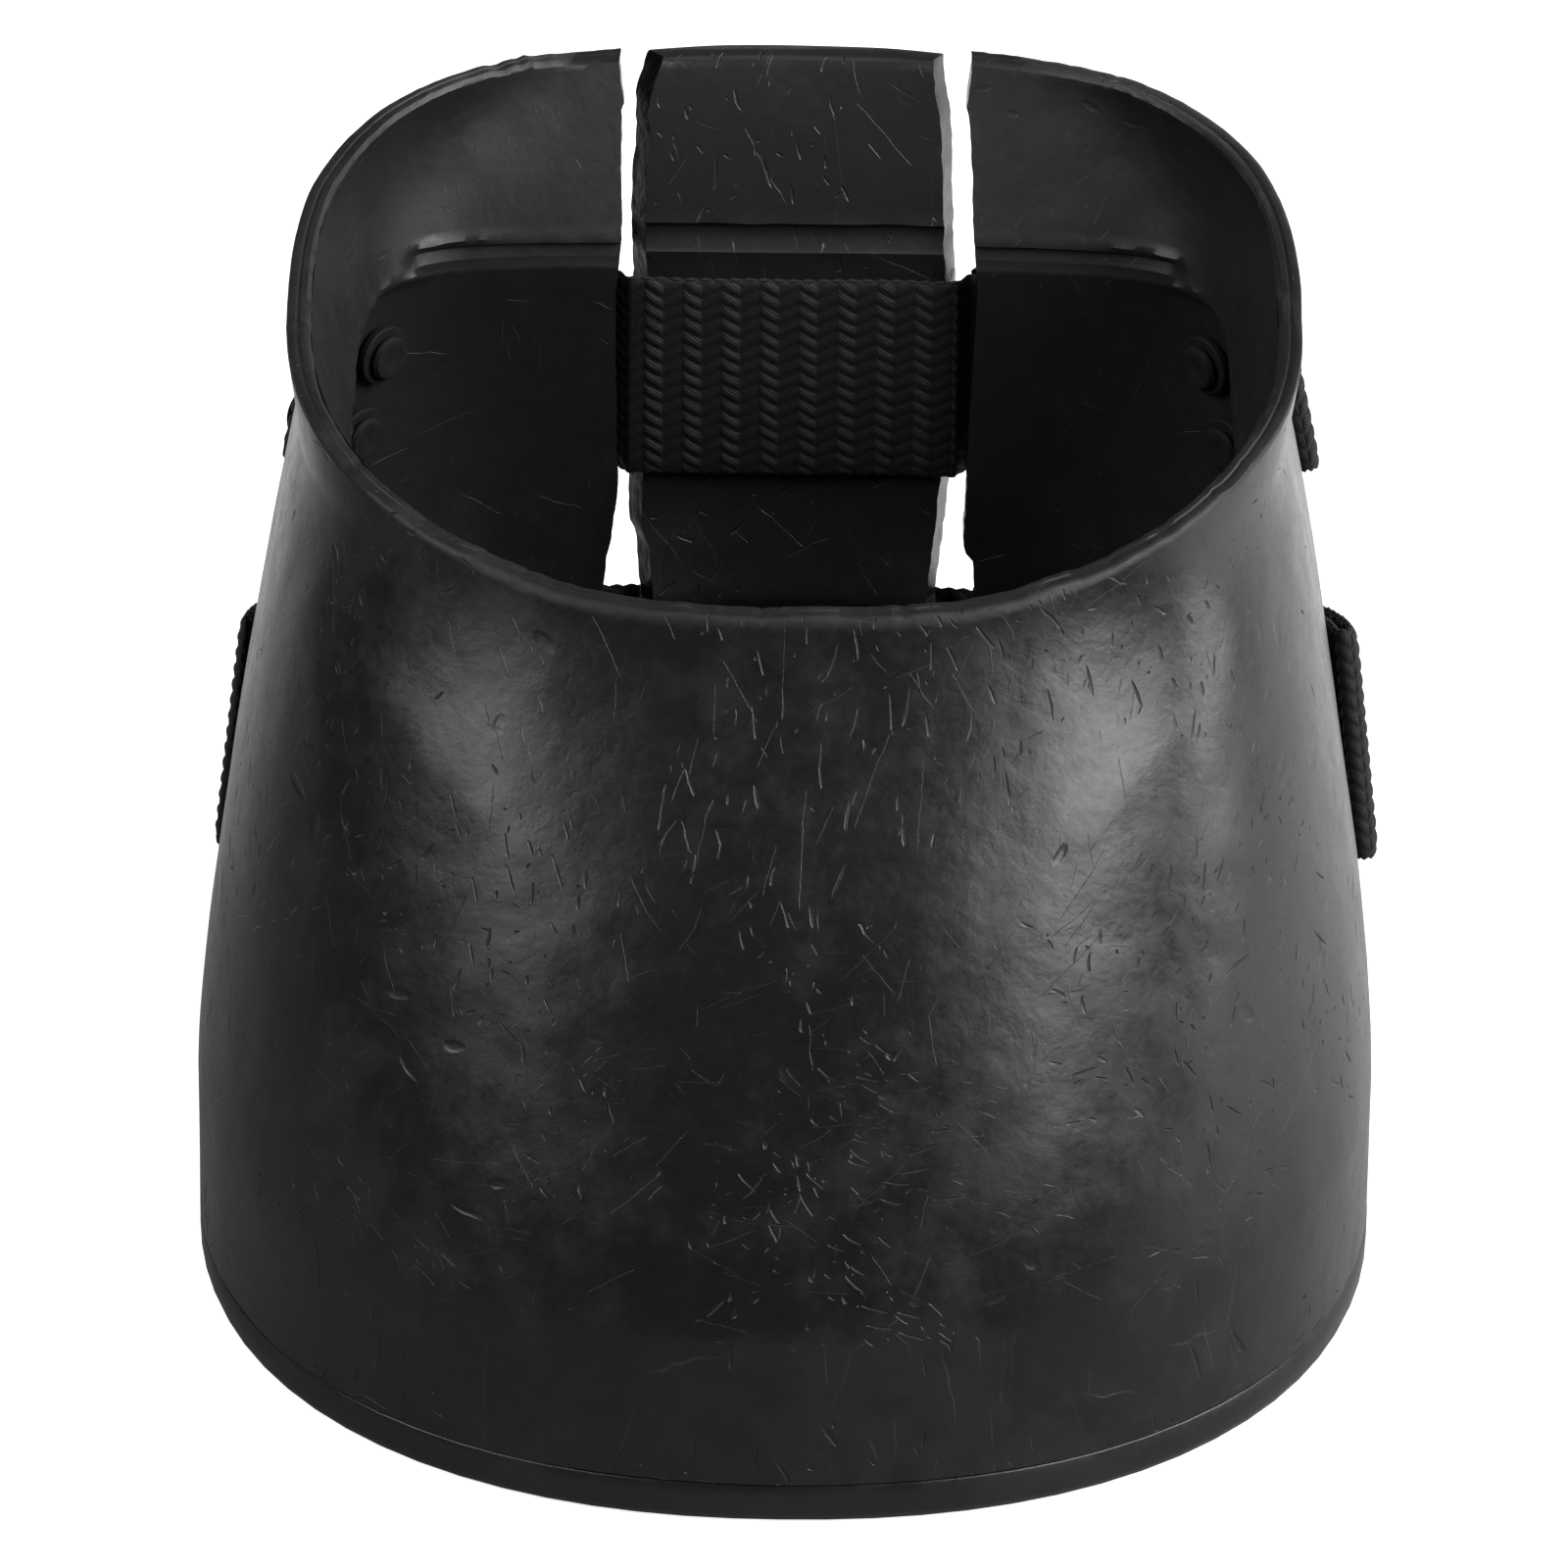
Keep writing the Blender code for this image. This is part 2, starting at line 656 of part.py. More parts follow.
def groove_rings():
    """Section of the waist groove, swept round the inside of the heel and run out at both ends."""
    rings = []
    count = ANGLE_STEPS // 4
    for step in range(count + 1):
        angle = mix(math.pi / 2 - GROOVE_END, math.pi / 2 + GROOVE_END, step / count)
        runout = math.sin(math.pi * step / count) ** GROOVE_RUNOUT_CURVE
        outer = WALL - GROOVE_DEPTH * runout
        inner = WALL + OVERRUN / 2
        section = []
        for height, depth in ((0, inner), (0, outer), (GROOVE_HEIGHT, outer), (GROOVE_HEIGHT, inner)):
            section.append(wall_point(angle, WAIST_HEIGHT + height + GAP, depth))
        rings.append(section)
    return rings


def tongue_bow(height):
    """How far the strap inside the tongue pushes it back at one height."""
    strap_low = UPPER_HEEL_HEIGHT - WEB_WIDTH / 2
    strap_high = UPPER_HEEL_HEIGHT + WEB_WIDTH / 2
    full = WALL + LAYER_GAP + GAP + WEB - STRAP_DIP + 2 * GAP
    if height < strap_low:
        return full * math.sin(math.pi / 2 * (height - TONGUE_ROOT) / (strap_low - GAP - TONGUE_ROOT))
    return mix(full, -TONGUE_TOP_LEAN, ease((height - strap_high) / (RIM_HEEL_HEIGHT - strap_high)))


def tongue_ring(height, wall):
    """Section of the tongue: the cut faces slant, so the outer face is the wider one."""
    half = TONGUE_HALF_WIDTH
    if height < TONGUE_ROOT + NOTCH_HEIGHT:
        half -= NOTCH_STEP
    outer = []
    inner = []
    for share in TONGUE_COLUMN_SHARES:
        angle = math.atan2(WAIST_HEEL_REACH - WAIST_CENTRE, half * share)
        for points, depth, width in ((outer, 0, half), (inner, wall, half - TONGUE_SLANT)):
            point = wall_point(angle, height, depth)
            points.append(Vector((width * share, point.y + tongue_bow(height), height)))
    return outer + inner[::-1]


def heel_tongue(material):
    root = TONGUE_ROOT + GAP
    levels = [root + (RIM_HEEL_HEIGHT - root) * share for share in TONGUE_LEVEL_SHARES]
    rings = [tongue_ring(height, WALL) for height in levels]
    groove_low = WAIST_HEIGHT + GAP
    groove_high = groove_low + GROOVE_HEIGHT
    for height, wall in ((groove_low, WALL), (groove_low + GAP, WALL - GROOVE_DEPTH)):
        rings.append(tongue_ring(height, wall))
    rings.append(tongue_ring(groove_high, wall_at(groove_high) - GROOVE_DEPTH))
    for share in TONGUE_COLLAR_SHARES:
        height = mix(groove_high + GAP, RIM_HEEL_HEIGHT, share)
        rings.append(tongue_ring(height, wall_at(height)))
    root_skin = wall_point(math.pi / 2, root, 0)
    return finished("heel_tongue", loft("heel_tongue", [rings]), material, root_skin)


def tread_cutter():
    """Chevron grooves that point to the toe, kept inside a plain margin."""
    chevrons = []
    reach = BASE_TOE_REACH + TREAD_RISE
    count = int(2 * reach / TREAD_PITCH)
    for index in range(count + 1):
        tip = -reach + TREAD_PITCH * index
        rings = []
        for side in (-1, 0, 1):
            x = side * (BASE_HALF_WIDTH + OVERRUN)
            y = tip + abs(side) * TREAD_RISE * (BASE_HALF_WIDTH + OVERRUN) / BASE_HALF_WIDTH
            corners = [(0, -OVERRUN), (TREAD_GROOVE, -OVERRUN)]
            corners += [(TREAD_GROOVE, TREAD_DEPTH), (0, TREAD_DEPTH)]
            rings.append([Vector((x, y + along, z)) for along, z in corners])
        chevrons.append(rings)
    grooves = cutter("tread_cutter", chevrons)
    field_rings = []
    for height in (-OVERRUN - GAP, TREAD_DEPTH + GAP):
        ring = level_ring(0, TREAD_MARGIN)
        field_rings.append([Vector((point.x, point.y, height)) for point in ring])
    combine(grooves, cutter("tread_field", [field_rings]), "INTERSECT")
    return grooves


def outsole(material):
    edge = SOLE_EDGE_ROUND
    rings = []
    for step in range(EDGE_STEPS + 1):
        turn = math.pi / 2 * step / EDGE_STEPS
        rings.append(level_ring(edge * (1 - math.cos(turn)), edge * (1 - math.sin(turn))))
    rings += [level_ring(SOLE_HEIGHT - SEAM_CHAMFER, 0), level_ring(SOLE_HEIGHT, SEAM_CHAMFER)]
    sole = finished("outsole", loft("outsole", [rings]), material)
    combine(sole, tread_cutter())


def strap_system(prefix, band, rivet_inset, rivet_drop, materials, drop=None):
    """One strap with its tail, ring, tab, closure and fixings. Returns its holes in the wall."""
    webbing, steel, rivet_steel, pile, hooks = materials
    left_frames = rivet_frames(band, rivet_inset - band.end, rivet_drop)
    right_frames = rivet_frames(band, band.end - rivet_inset, rivet_drop)
    left_holes = rivet_set(prefix + "_strap", left_frames, GAP + WEB, rivet_steel)
    right_holes = rivet_set(prefix + "_tab", right_frames, GAP + 2 * WEB + LAYER_GAP, rivet_steel)
    run = strap(prefix + "_strap", band, webbing, drop)
    combine(run, cutter(prefix + "_strap_hole_cutter", left_holes))
    tab = ring_tab(prefix + "_ring_tab", band, webbing)
    combine(tab, cutter(prefix + "_tab_hole_cutter", right_holes))
    wire_ring(prefix + "_ring", band, steel)
    tail = strap_tail(prefix + "_strap_tail", band, webbing)
    patch(prefix + "_loop_patch", band, 2 * GAP + WEB, pile)
    patch(prefix + "_hook_patch", band, 3 * GAP + WEB + PATCH, hooks, tail)
    return left_holes + right_holes


def main():
    for thing in list(bpy.data.objects):
        bpy.data.objects.remove(thing, do_unlink=True)
    rubber = painted("shell_rubber", (0.018, 0.017, 0.016), 0.5)
    sole_rubber = painted("sole_rubber", (0.014, 0.014, 0.014), 0.65)
    webbing = painted("black_webbing", (0.012, 0.012, 0.012), 0.85)
    steel = painted("plated_steel", (0.55, 0.55, 0.56), 0.32, 1.0)
    pile = painted("loop_pile", (0.015, 0.015, 0.015), 0.95)
    hooks = painted("hook_tape", (0.02, 0.02, 0.02), 0.6)
    rivet_steel = painted("blackened_steel", (0.03, 0.03, 0.032), 0.4, 1.0)
    materials = (webbing, steel, rivet_steel, pile, hooks)
    upper_sizes = (UPPER_STRAP_REACH, UPPER_TAB_LENGTH, UPPER_TAIL_LENGTH)
    upper = Band(UPPER_HEEL_HEIGHT, UPPER_STRAP_RISE, UPPER_RISE_END, *upper_sizes)
    lower_sizes = (LOWER_STRAP_REACH, LOWER_TAB_LENGTH, LOWER_TAIL_LENGTH)
    lower = Band(LOWER_HEEL_HEIGHT, LOWER_STRAP_RISE, LOWER_RISE_END, *lower_sizes)
    holes = strap_system("upper", upper, UPPER_RIVET_INSET, UPPER_RIVET_DROP, materials, heel_dip)
    holes += strap_system("lower", lower, LOWER_RIVET_INSET, LOWER_RIVET_DROP, materials)
    boot_shell(rubber, holes)
    heel_tongue(rubber)
    outsole(sole_rubber)


main()
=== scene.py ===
import json
from functools import partial
from math import atan2, cos, exp, floor, hypot, pi, radians, remainder, sin, sqrt, tau

import bmesh
import bpy
from mathutils import Matrix, Vector, noise

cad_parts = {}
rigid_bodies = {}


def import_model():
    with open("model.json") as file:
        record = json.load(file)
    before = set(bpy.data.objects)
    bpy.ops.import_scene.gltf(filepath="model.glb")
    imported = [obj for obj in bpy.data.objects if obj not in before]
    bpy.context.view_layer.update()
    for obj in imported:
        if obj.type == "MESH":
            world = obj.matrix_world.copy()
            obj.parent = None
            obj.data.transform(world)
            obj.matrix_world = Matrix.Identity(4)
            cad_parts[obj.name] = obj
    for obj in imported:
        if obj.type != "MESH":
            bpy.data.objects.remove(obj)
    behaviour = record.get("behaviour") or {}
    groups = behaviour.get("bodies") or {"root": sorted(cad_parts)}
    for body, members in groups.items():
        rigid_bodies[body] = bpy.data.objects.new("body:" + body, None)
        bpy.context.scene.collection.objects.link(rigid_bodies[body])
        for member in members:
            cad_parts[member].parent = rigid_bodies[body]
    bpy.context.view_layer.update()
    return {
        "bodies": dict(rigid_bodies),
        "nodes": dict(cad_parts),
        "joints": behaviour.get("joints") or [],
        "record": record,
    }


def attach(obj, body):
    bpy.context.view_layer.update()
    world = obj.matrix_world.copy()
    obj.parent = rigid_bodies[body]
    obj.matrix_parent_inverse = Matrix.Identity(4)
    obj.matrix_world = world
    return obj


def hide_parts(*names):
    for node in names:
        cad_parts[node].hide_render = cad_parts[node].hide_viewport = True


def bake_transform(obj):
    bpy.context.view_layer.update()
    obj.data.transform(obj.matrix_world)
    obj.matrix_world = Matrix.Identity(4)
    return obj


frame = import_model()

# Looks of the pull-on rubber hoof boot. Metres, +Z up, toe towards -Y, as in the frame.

HEEL = pi / 2
TOE = -pi / 2
UP = Vector((0, 0, 1))
# Points closer than this are one
SAME_POINT = 0.00001
# Clearance between pieces that touch
GAP = 0.0003
# How far a cutter runs past what it cuts
OVERRUN = 0.006
# Offset of the noise for each seed
SEED_SHIFT = (7.3, 3.1, 5.7)

# Outline of the wall at the base, the waist and the rim, as in the frame
BASE_HALF_WIDTH = 0.0748
BASE_TOE_REACH = 0.0746
BASE_HEEL_REACH = 0.072
WALL_FOOT_SHARE = 0.192
BASE_SQUARENESS = 2.3
WAIST_HEIGHT_SHARE = 0.8135
WAIST_HALF_WIDTH = 0.0618
WAIST_TOE_REACH = 0.0305
WAIST_HEEL_REACH = 0.063
WAIST_CENTRE = 0.017
WAIST_SQUARENESS = 5.0
RIM_HALF_WIDTH = 0.0637
RIM_TOE_REACH = 0.033
RIM_HEEL_REACH = 0.0754
RIM_SQUARENESS = 2.6
RIM_HEEL_HEIGHT = 0.1306
RIM_TOE_SHARE = 0.8015
RIM_RISE_START = radians(16)
RIM_RISE_END = radians(145)
TOE_COLLAR = 0.034
SIDE_COLLAR = 0.0095
TOE_COLLAR_CURVE = 1.6
TOE_COLLAR_END = radians(100)
COLLAR_BLEND = 0.012
SIDE_CURVE = 1.38
TOE_CURVE = 1.2
HEEL_CURVE = 1.3
CENTRE_CURVE = 1.4
SQUARENESS_CURVE = 1.4
COLLAR_CURVE = 1.15
TOE_SQUARENESS = 2.2
FRONT_FILL = 0.62
FRONT_FILL_END = radians(90)
FRONT_FILL_FADE = radians(42)
FRONT_CURVE = 1.2

# Wall and its mesh
WALL = 0.0042
RIM_WALL = 0.0031
RIM_ROUND = 0.0006
FLOOR = 0.0042
SOLE_HEIGHT = 0.0055
SEAM = 0.00012
ANGLE_STEPS = 440
OUTER_LEVELS = 46
INNER_LEVELS = 40
COLLAR_LEVELS = 16
WAVE = 0.00022
HALVINGS = 22
UV_ROW = 0.002

# Mould line inside the heel
GROOVE_DEPTH = 0.0015
GROOVE_START = 0.0004
GROOVE_HEIGHT = 0.0027
GROOVE_END = radians(50)
GROOVE_EDGE = 0.0004
FLASH = 0.0005
FLASH_RUN = 0.06

# Lip of the collar over the inner wall, along the corners and sides, its turns counted from the heel
LEDGE = 0.0024
LEDGE_CURVE = 1.4
LEDGE_BACK = radians(44)
LEDGE_BACK_FADE = radians(22)
LEDGE_FRONT = radians(158)
LEDGE_FRONT_FADE = radians(60)
# Underside of the lip: height from the collar's foot and share of the lip's reach
LIP_PROFILE = ((0.0003, 0.98), (0.0, 0.94), (-0.0004, 0.8), (-0.0009, 0.35), (-0.0014, 0.05))

# Tongue and slits
TONGUE_HALF_WIDTH = 0.0201
TONGUE_SLANT = 0.0014
SLIT_DEPTH_SHARE = 0.583
TONGUE_TOP_LEAN = 0.0003
TONGUE_STEP = 0.001
TONGUE_COLUMNS = 26
CUT_ROUGHNESS = 0.0003
CUT_STEP = 0.0008
FOOT_STEPS = 8
# Height, then the left flap, the tongue's two sides and the right flap, as the knife left them
SLIT_CUTS = (
    (0.1306, -0.0228, -0.0191, 0.0187, 0.0223),
    (0.1292, -0.0228, -0.0195, 0.0188, 0.0223),
    (0.1272, -0.0225, -0.0202, 0.0190, 0.0221),
    (0.1251, -0.0222, -0.0209, 0.0193, 0.0218),
    (0.1243, -0.0225, -0.0207, 0.0196, 0.0221),
    (0.1210, -0.0225, -0.0207, 0.0199, 0.0224),
    (0.1100, -0.0223, -0.0213, 0.0204, 0.0230),
    (0.1045, -0.0228, -0.0210, 0.0205, 0.0235),
    (0.1004, -0.0232, -0.0209, 0.0209, 0.0235),
    (0.0716, -0.0228, -0.0213, 0.0207, 0.0226),
    (0.0634, -0.0236, -0.0214, 0.0199, 0.0224),
    (0.0623, -0.0238, -0.0209, 0.0198, 0.0227),
    (0.0612, -0.0241, -0.0204, 0.0196, 0.0237),
    (0.0566, -0.0246, -0.0200, 0.0190, 0.0240),
    (0.0545, -0.0247, -0.0198, 0.0189, 0.0242),
)

# Webbing
WEB_WIDTH = 0.03
WEB = 0.0018
LAYER_GAP = 0.00015
ROW_STEP = 0.0028
BAND_STEPS = 480
FOLD_LEAD = 0.004
BULGE_SHARES = (-0.95, -0.6, -0.3, 0, 0.3, 0.6, 0.95)
RISE_START = radians(58)
RISE_CURVE = 1.5
UPPER_STRAP_DROP = 0.019
UPPER_STRAP_RISE = 0.0115
UPPER_STRAP_REACH = 0.0681
UPPER_RISE_END = radians(30)
LOWER_STRAP_DROP = 0.0012
LOWER_STRAP_RISE = 0.0165
LOWER_STRAP_REACH = 0.0935
LOWER_RISE_END = radians(17)
STRAP_DIP = 0.0016
DIP_LEFT = (0.0228, 0.0215)
DIP_RIGHT = (0.0226, 0.0211)
RIB = 0.0021
COLUMN = 0.0025
WEAVE_DEPTH = 0.00034
WEAVE_STEP = 0.0005
EDGE_PITCH = 0.0019
EDGE_COUNT = 4
EDGE_WANDER = 0.0002
FLOAT_LEAN = 0.75
YARN_TWIST = 0.00045
YARN_LOOP = 0.00042
YARN_LOOP_FOOT = 0.0001
PRESSED = 0.00014
PRESSED_END = 0.001

# Ring, tab, tail and closure
WIRE_RADIUS = 0.00125
RING_SPAN = 0.0105
RING_SIDE_CLEARANCE = 0.0014
RING_CORNER = 0.0023
RING_PLAY = 0.0007
WIRE_SIDES = 16
WELD = 0.00016
WELD_WIDTH = 0.0005
WELD_SHARES = (0.46, 0.48, 0.49, 0.5, 0.51, 0.52, 0.54)
UPPER_TAB_LENGTH = 0.0165
LOWER_TAB_LENGTH = 0.03
TAB_TAPER = 0.0056
UPPER_TAIL_LENGTH = 0.0184
LOWER_TAIL_LENGTH = 0.03
TAIL_CLIP = 0.003
FOLD_STEPS = 12
PATCH_MARGIN = 0.002
PATCH_END_MARGIN = 0.0035
# Pitch and depth of each nap
LOOP_NAP = (0.0007, 0.0003)
HOOK_NAP = (0.0006, 0.00018)
STITCH = 0.0026
STITCH_GAP = 0.0008
THREAD = 0.00038
THREAD_SIDES = 8
STITCH_STEPS = 6
SEAM_INSET = 0.0012

# Rivets
SHANK_RADIUS = 0.0018
HEAD_RADIUS = 0.0038
HEAD_HEIGHT = 0.0011
SET_RADIUS = 0.003
SET_HEIGHT = 0.0011
HEAD_STEPS = 9
# Set end of a rivet, in shares of its radius and its height
SET_PROFILE = ((0.3, 0.7), (0.62, 1), (0.88, 0.86), (1, 0.4), (0.97, 0))
WASHER_RADIUS = 0.004
WASHER = 0.0009
UPPER_RIVET_INSET = 0.0068
LOWER_RIVET_INSET = 0.0135
RIVET_SPREAD = 0.0055
UPPER_RIVET_DROP = 0.0045
LOWER_RIVET_DROP = 0.0

# Worked out from the sizes above
WALL_FOOT_HEIGHT = RIM_HEEL_HEIGHT * WALL_FOOT_SHARE
WAIST_HEIGHT = RIM_HEEL_HEIGHT * WAIST_HEIGHT_SHARE
RIM_TOE_HEIGHT = RIM_HEEL_HEIGHT * RIM_TOE_SHARE
SHELL_BOTTOM = SOLE_HEIGHT + SEAM
TONGUE_ROOT = RIM_HEEL_HEIGHT * (1 - SLIT_DEPTH_SHARE)
BAR_HEIGHT = GAP + WEB + GAP + WIRE_RADIUS
TAIL_HEIGHT = BAR_HEIGHT + WIRE_RADIUS + RING_PLAY + GAP
STRAP_FOLD_RADIUS = (TAIL_HEIGHT - GAP - WEB) / 2
STRAP_FOLD_ALONG = WIRE_RADIUS + GAP - STRAP_FOLD_RADIUS - RING_SPAN / 2
PATCH = (TAIL_HEIGHT - GAP - WEB - 3 * GAP) / 2
UPPER_HEEL_HEIGHT = WAIST_HEIGHT - UPPER_STRAP_DROP
LOWER_HEEL_HEIGHT = TONGUE_ROOT - LOWER_STRAP_DROP - WEB_WIDTH / 2
FOOT_LEVELS = (SHELL_BOTTOM + SEAM, SHELL_BOTTOM + 4 * SEAM, SHELL_BOTTOM + 0.003, 0.012, 0.018)
# Rim with the step that its trim left: height from the rim and depth from the outer face
RIM_PROFILE = (
    (-RIM_ROUND, 0),
    (-RIM_ROUND * 0.3, RIM_ROUND * 0.3),
    (0, RIM_ROUND),
    (0, 0.0012),
    (-0.0002, 0.0014),
    (-0.0002, 0.0016),
    (0, 0.0018),
    (0, RIM_WALL - RIM_ROUND),
    (-RIM_ROUND, RIM_WALL),
)

# Rubber colours, and the rows of the shell's UV at which the trim and the inner face start
WALL_TINT = (0.0062, 0.006, 0.0058)
SOLE_TINT = (0.0095, 0.0093, 0.0092)
# The tongue's tint is a paler copy of the wall's rubber: painted light on the tongue
TONGUE_PAINTED_LIGHT_TINT = (0.0165, 0.0161, 0.0157)
# The cut tint is darker than the wall's: painted shadow on the tongue's left-facing cut faces
CUT_PAINTED_SHADOW_TINT = (0.0055, 0.0053, 0.0052)
# The inner tint is paler than the wall's: painted fill light on the inner face
INNER_PAINTED_FILL_TINT = (0.015, 0.0147, 0.0144)
DUST = (0.026, 0.024, 0.0225)
SCRATCH_TINT = (0.075, 0.073, 0.07)
# The gouge tint is near black: painted shade inside the gouges
GOUGE_PAINTED_SHADE_TINT = (0.003, 0.003, 0.003)
TRIM_ROWS = (0.134, 0.137)
INSIDE_ROWS = (0.148, 0.154)

# Bearing from the toe and height in degrees, distance, width, height and watts of each light
LIGHTS = (
    ("softbox_right", 64, 36, 1.5, 1.3, 0.85, 30),
    ("softbox_left", -61, 37, 1.6, 1.15, 0.8, 13),
    ("side_right", 87, 12, 1.5, 0.5, 0.36, 4.5),
    ("backdrop", 152, 9, 1.7, 2.7, 0.9, 10),
    ("overhead", 10, 84, 2.2, 1.0, 1.0, 2.5),
)
LIGHTS_AIM = Vector((0, 0, 0.06))


def mix(low, high, share):
    return low + (high - low) * share


def spread(start, stop, count):
    return [mix(start, stop, step / count) for step in range(count + 1)]


def full_turn(count):
    return [tau * step / count for step in range(count)]


def clamp(share):
    return min(max(share, 0), 1)


def ease(share):
    share = clamp(share)
    return share * share * (3 - 2 * share)


# Wall surface


def bell(offset, width):
    return exp(-((offset / width) ** 2))


def bearing(turn):
    return Vector((cos(turn), sin(turn), 0))


def turn_from(middle, angle):
    return abs(remainder(angle - middle, tau))


def rim_height(angle):
    rise = ease((turn_from(TOE, angle) - RIM_RISE_START) / (RIM_RISE_END - RIM_RISE_START))
    return mix(RIM_TOE_HEIGHT, RIM_HEEL_HEIGHT, rise)


def from_toe(angle):
    """0 at the toe, 1 from the sides on."""
    return ease(turn_from(TOE, angle) / TOE_COLLAR_END)


def collar_foot(angle):
    """Height at which the collar starts, eased from the level waist to just below the rim at the toe."""
    level = rim_height(angle) - mix(TOE_COLLAR, SIDE_COLLAR, from_toe(angle))
    near = max(1 - abs(WAIST_HEIGHT - level) / COLLAR_BLEND, 0)
    return min(WAIST_HEIGHT, level) - near * near * COLLAR_BLEND / 4


def body_share(height):
    return clamp((height - WALL_FOOT_HEIGHT) / (WAIST_HEIGHT - WALL_FOOT_HEIGHT))


def centre_at(height):
    return WAIST_CENTRE * body_share(height) ** CENTRE_CURVE


def front_fill(angle):
    """How nearly straight the wall runs up to the rim: most at the front corners, none at the sides."""
    return FRONT_FILL * ease((FRONT_FILL_END - turn_from(TOE, angle)) / FRONT_FILL_FADE)


def outline_radius(angle, height):
    foot = collar_foot(angle)
    body = body_share(height)
    half_width = mix(BASE_HALF_WIDTH, WAIST_HALF_WIDTH, body**SIDE_CURVE)
    toe_reach = mix(BASE_TOE_REACH, WAIST_TOE_REACH, body**TOE_CURVE)
    heel_reach = mix(BASE_HEEL_REACH, WAIST_HEEL_REACH, body**HEEL_CURVE)
    squareness = mix(BASE_SQUARENESS, WAIST_SQUARENESS, body**SQUARENESS_CURVE)
    if height > foot:
        curve = mix(TOE_COLLAR_CURVE, COLLAR_CURVE, from_toe(angle))
        collar = min((height - foot) / (rim_height(angle) - foot), 1) ** curve
        half_width = mix(half_width, RIM_HALF_WIDTH, collar)
        toe_reach = mix(toe_reach, RIM_TOE_REACH, collar)
        heel_reach = mix(heel_reach, RIM_HEEL_REACH, collar)
        squareness = mix(squareness, RIM_SQUARENESS, collar)
    fill = front_fill(angle)
    if fill > 0:
        rise = min(max((height - WALL_FOOT_HEIGHT) / (rim_height(angle) - WALL_FOOT_HEIGHT), 0), 1)
        half_width = mix(half_width, mix(BASE_HALF_WIDTH, RIM_HALF_WIDTH, rise**FRONT_CURVE), fill)
        toe_reach = mix(toe_reach, mix(BASE_TOE_REACH, RIM_TOE_REACH, rise**FRONT_CURVE), fill)
    reach = heel_reach - centre_at(height)
    if sin(angle) < 0:
        reach = toe_reach + centre_at(height)
        squareness = TOE_SQUARENESS
    across = abs(cos(angle)) / half_width
    along = abs(sin(angle)) / reach
    return (across**squareness + along**squareness) ** (-1 / squareness)


def outer_point(angle, height):
    radius = outline_radius(angle, height)
    return Vector((radius * cos(angle), centre_at(height) + radius * sin(angle), height))


def outer_normal(angle, height):
    turn = tau / 640
    round_slope = outer_point(angle + turn, height) - outer_point(angle - turn, height)
    up_slope = outer_point(angle, height) - outer_point(angle, height - RIM_ROUND)
    return round_slope.cross(up_slope).normalized()


def wall_point(angle, height, depth):
    normal = outer_normal(angle, height)
    level = Vector((normal.x, normal.y, 0))
    return outer_point(angle, height) - level.normalized() * depth / level.length


def wall_at(height):
    return mix(WALL, RIM_WALL, clamp((height - WAIST_HEIGHT) / (RIM_HEEL_HEIGHT - WAIST_HEIGHT)))


def way_round(point):
    """Turn of a point about the middle of the boot at its height, and its distance from there."""
    offset = Vector((point.x, point.y - centre_at(point.z)))
    return atan2(offset.y, offset.x), offset.length


def normal_at(point):
    return outer_normal(way_round(point)[0], point.z)


def is_outside(point):
    turn, distance = way_round(point)
    return distance > outline_radius(turn, point.z)


def distance_to_wall(point, direction):
    low = -BASE_HALF_WIDTH / 4
    high = BASE_HALF_WIDTH / 4
    for _ in range(HALVINGS):
        middle = (low + high) / 2
        if is_outside(point + direction * middle):
            high = middle
        else:
            low = middle
    return (low + high) / 2


def rough(point, pitch, seed):
    """Smooth noise from -1 to 1 with bumps of this pitch."""
    return noise.noise(point / pitch + Vector([seed * shift for shift in SEED_SHIFT]))


# Meshes and objects


def linked(name, data):
    thing = bpy.data.objects.new(name, data)
    bpy.context.scene.collection.objects.link(thing)
    return thing


def new_object(name, mesh, material):
    mesh.materials.append(material)
    return linked(name, mesh)


def built_mesh(name, builder):
    bmesh.ops.recalc_face_normals(builder, faces=builder.faces)
    mesh = bpy.data.meshes.new(name)
    builder.to_mesh(mesh)
    builder.free()
    return mesh


def bridge(builder, low, high):
    """Faces between two loops, each with the number of its first corner."""
    faces = []
    for index in range(len(low)):
        after = (index + 1) % len(low)
        faces.append((index, builder.faces.new((low[index], low[after], high[after], high[index]))))
    return faces


def loft(mesh_name, rings, layer=None, endless=False):
    """Skin through the rings, capped at both ends or endless. A layer gives each point its UV in metres."""
    builder = bmesh.new()
    loops = [[builder.verts.new(point) for point in ring] for ring in rings]
    uv = builder.loops.layers.uv.new("UVMap")
    for row in range(len(loops) - (0 if endless else 1)):
        for index, face in bridge(builder, loops[row], loops[(row + 1) % len(loops)]):
            if layer:
                places = ((row, index), (row, index + 1), (row + 1, index + 1), (row + 1, index))
                for corner, place in zip(face.loops, places):
                    corner[uv].uv = layer(*place)
    if not endless:
        builder.faces.new(reversed(loops[0]))
        builder.faces.new(loops[-1])
    return built_mesh(mesh_name, builder)


def choose(thing):
    bpy.ops.object.select_all(action="DESELECT")
    thing.select_set(True)
    bpy.context.view_layer.objects.active = thing


def smooth(thing, degrees=35):
    choose(thing)
    bpy.ops.object.shade_smooth_by_angle(angle=radians(degrees))


def apply_all(thing):
    choose(thing)
    for modifier in list(thing.modifiers):
        bpy.ops.object.modifier_apply(modifier=modifier.name)


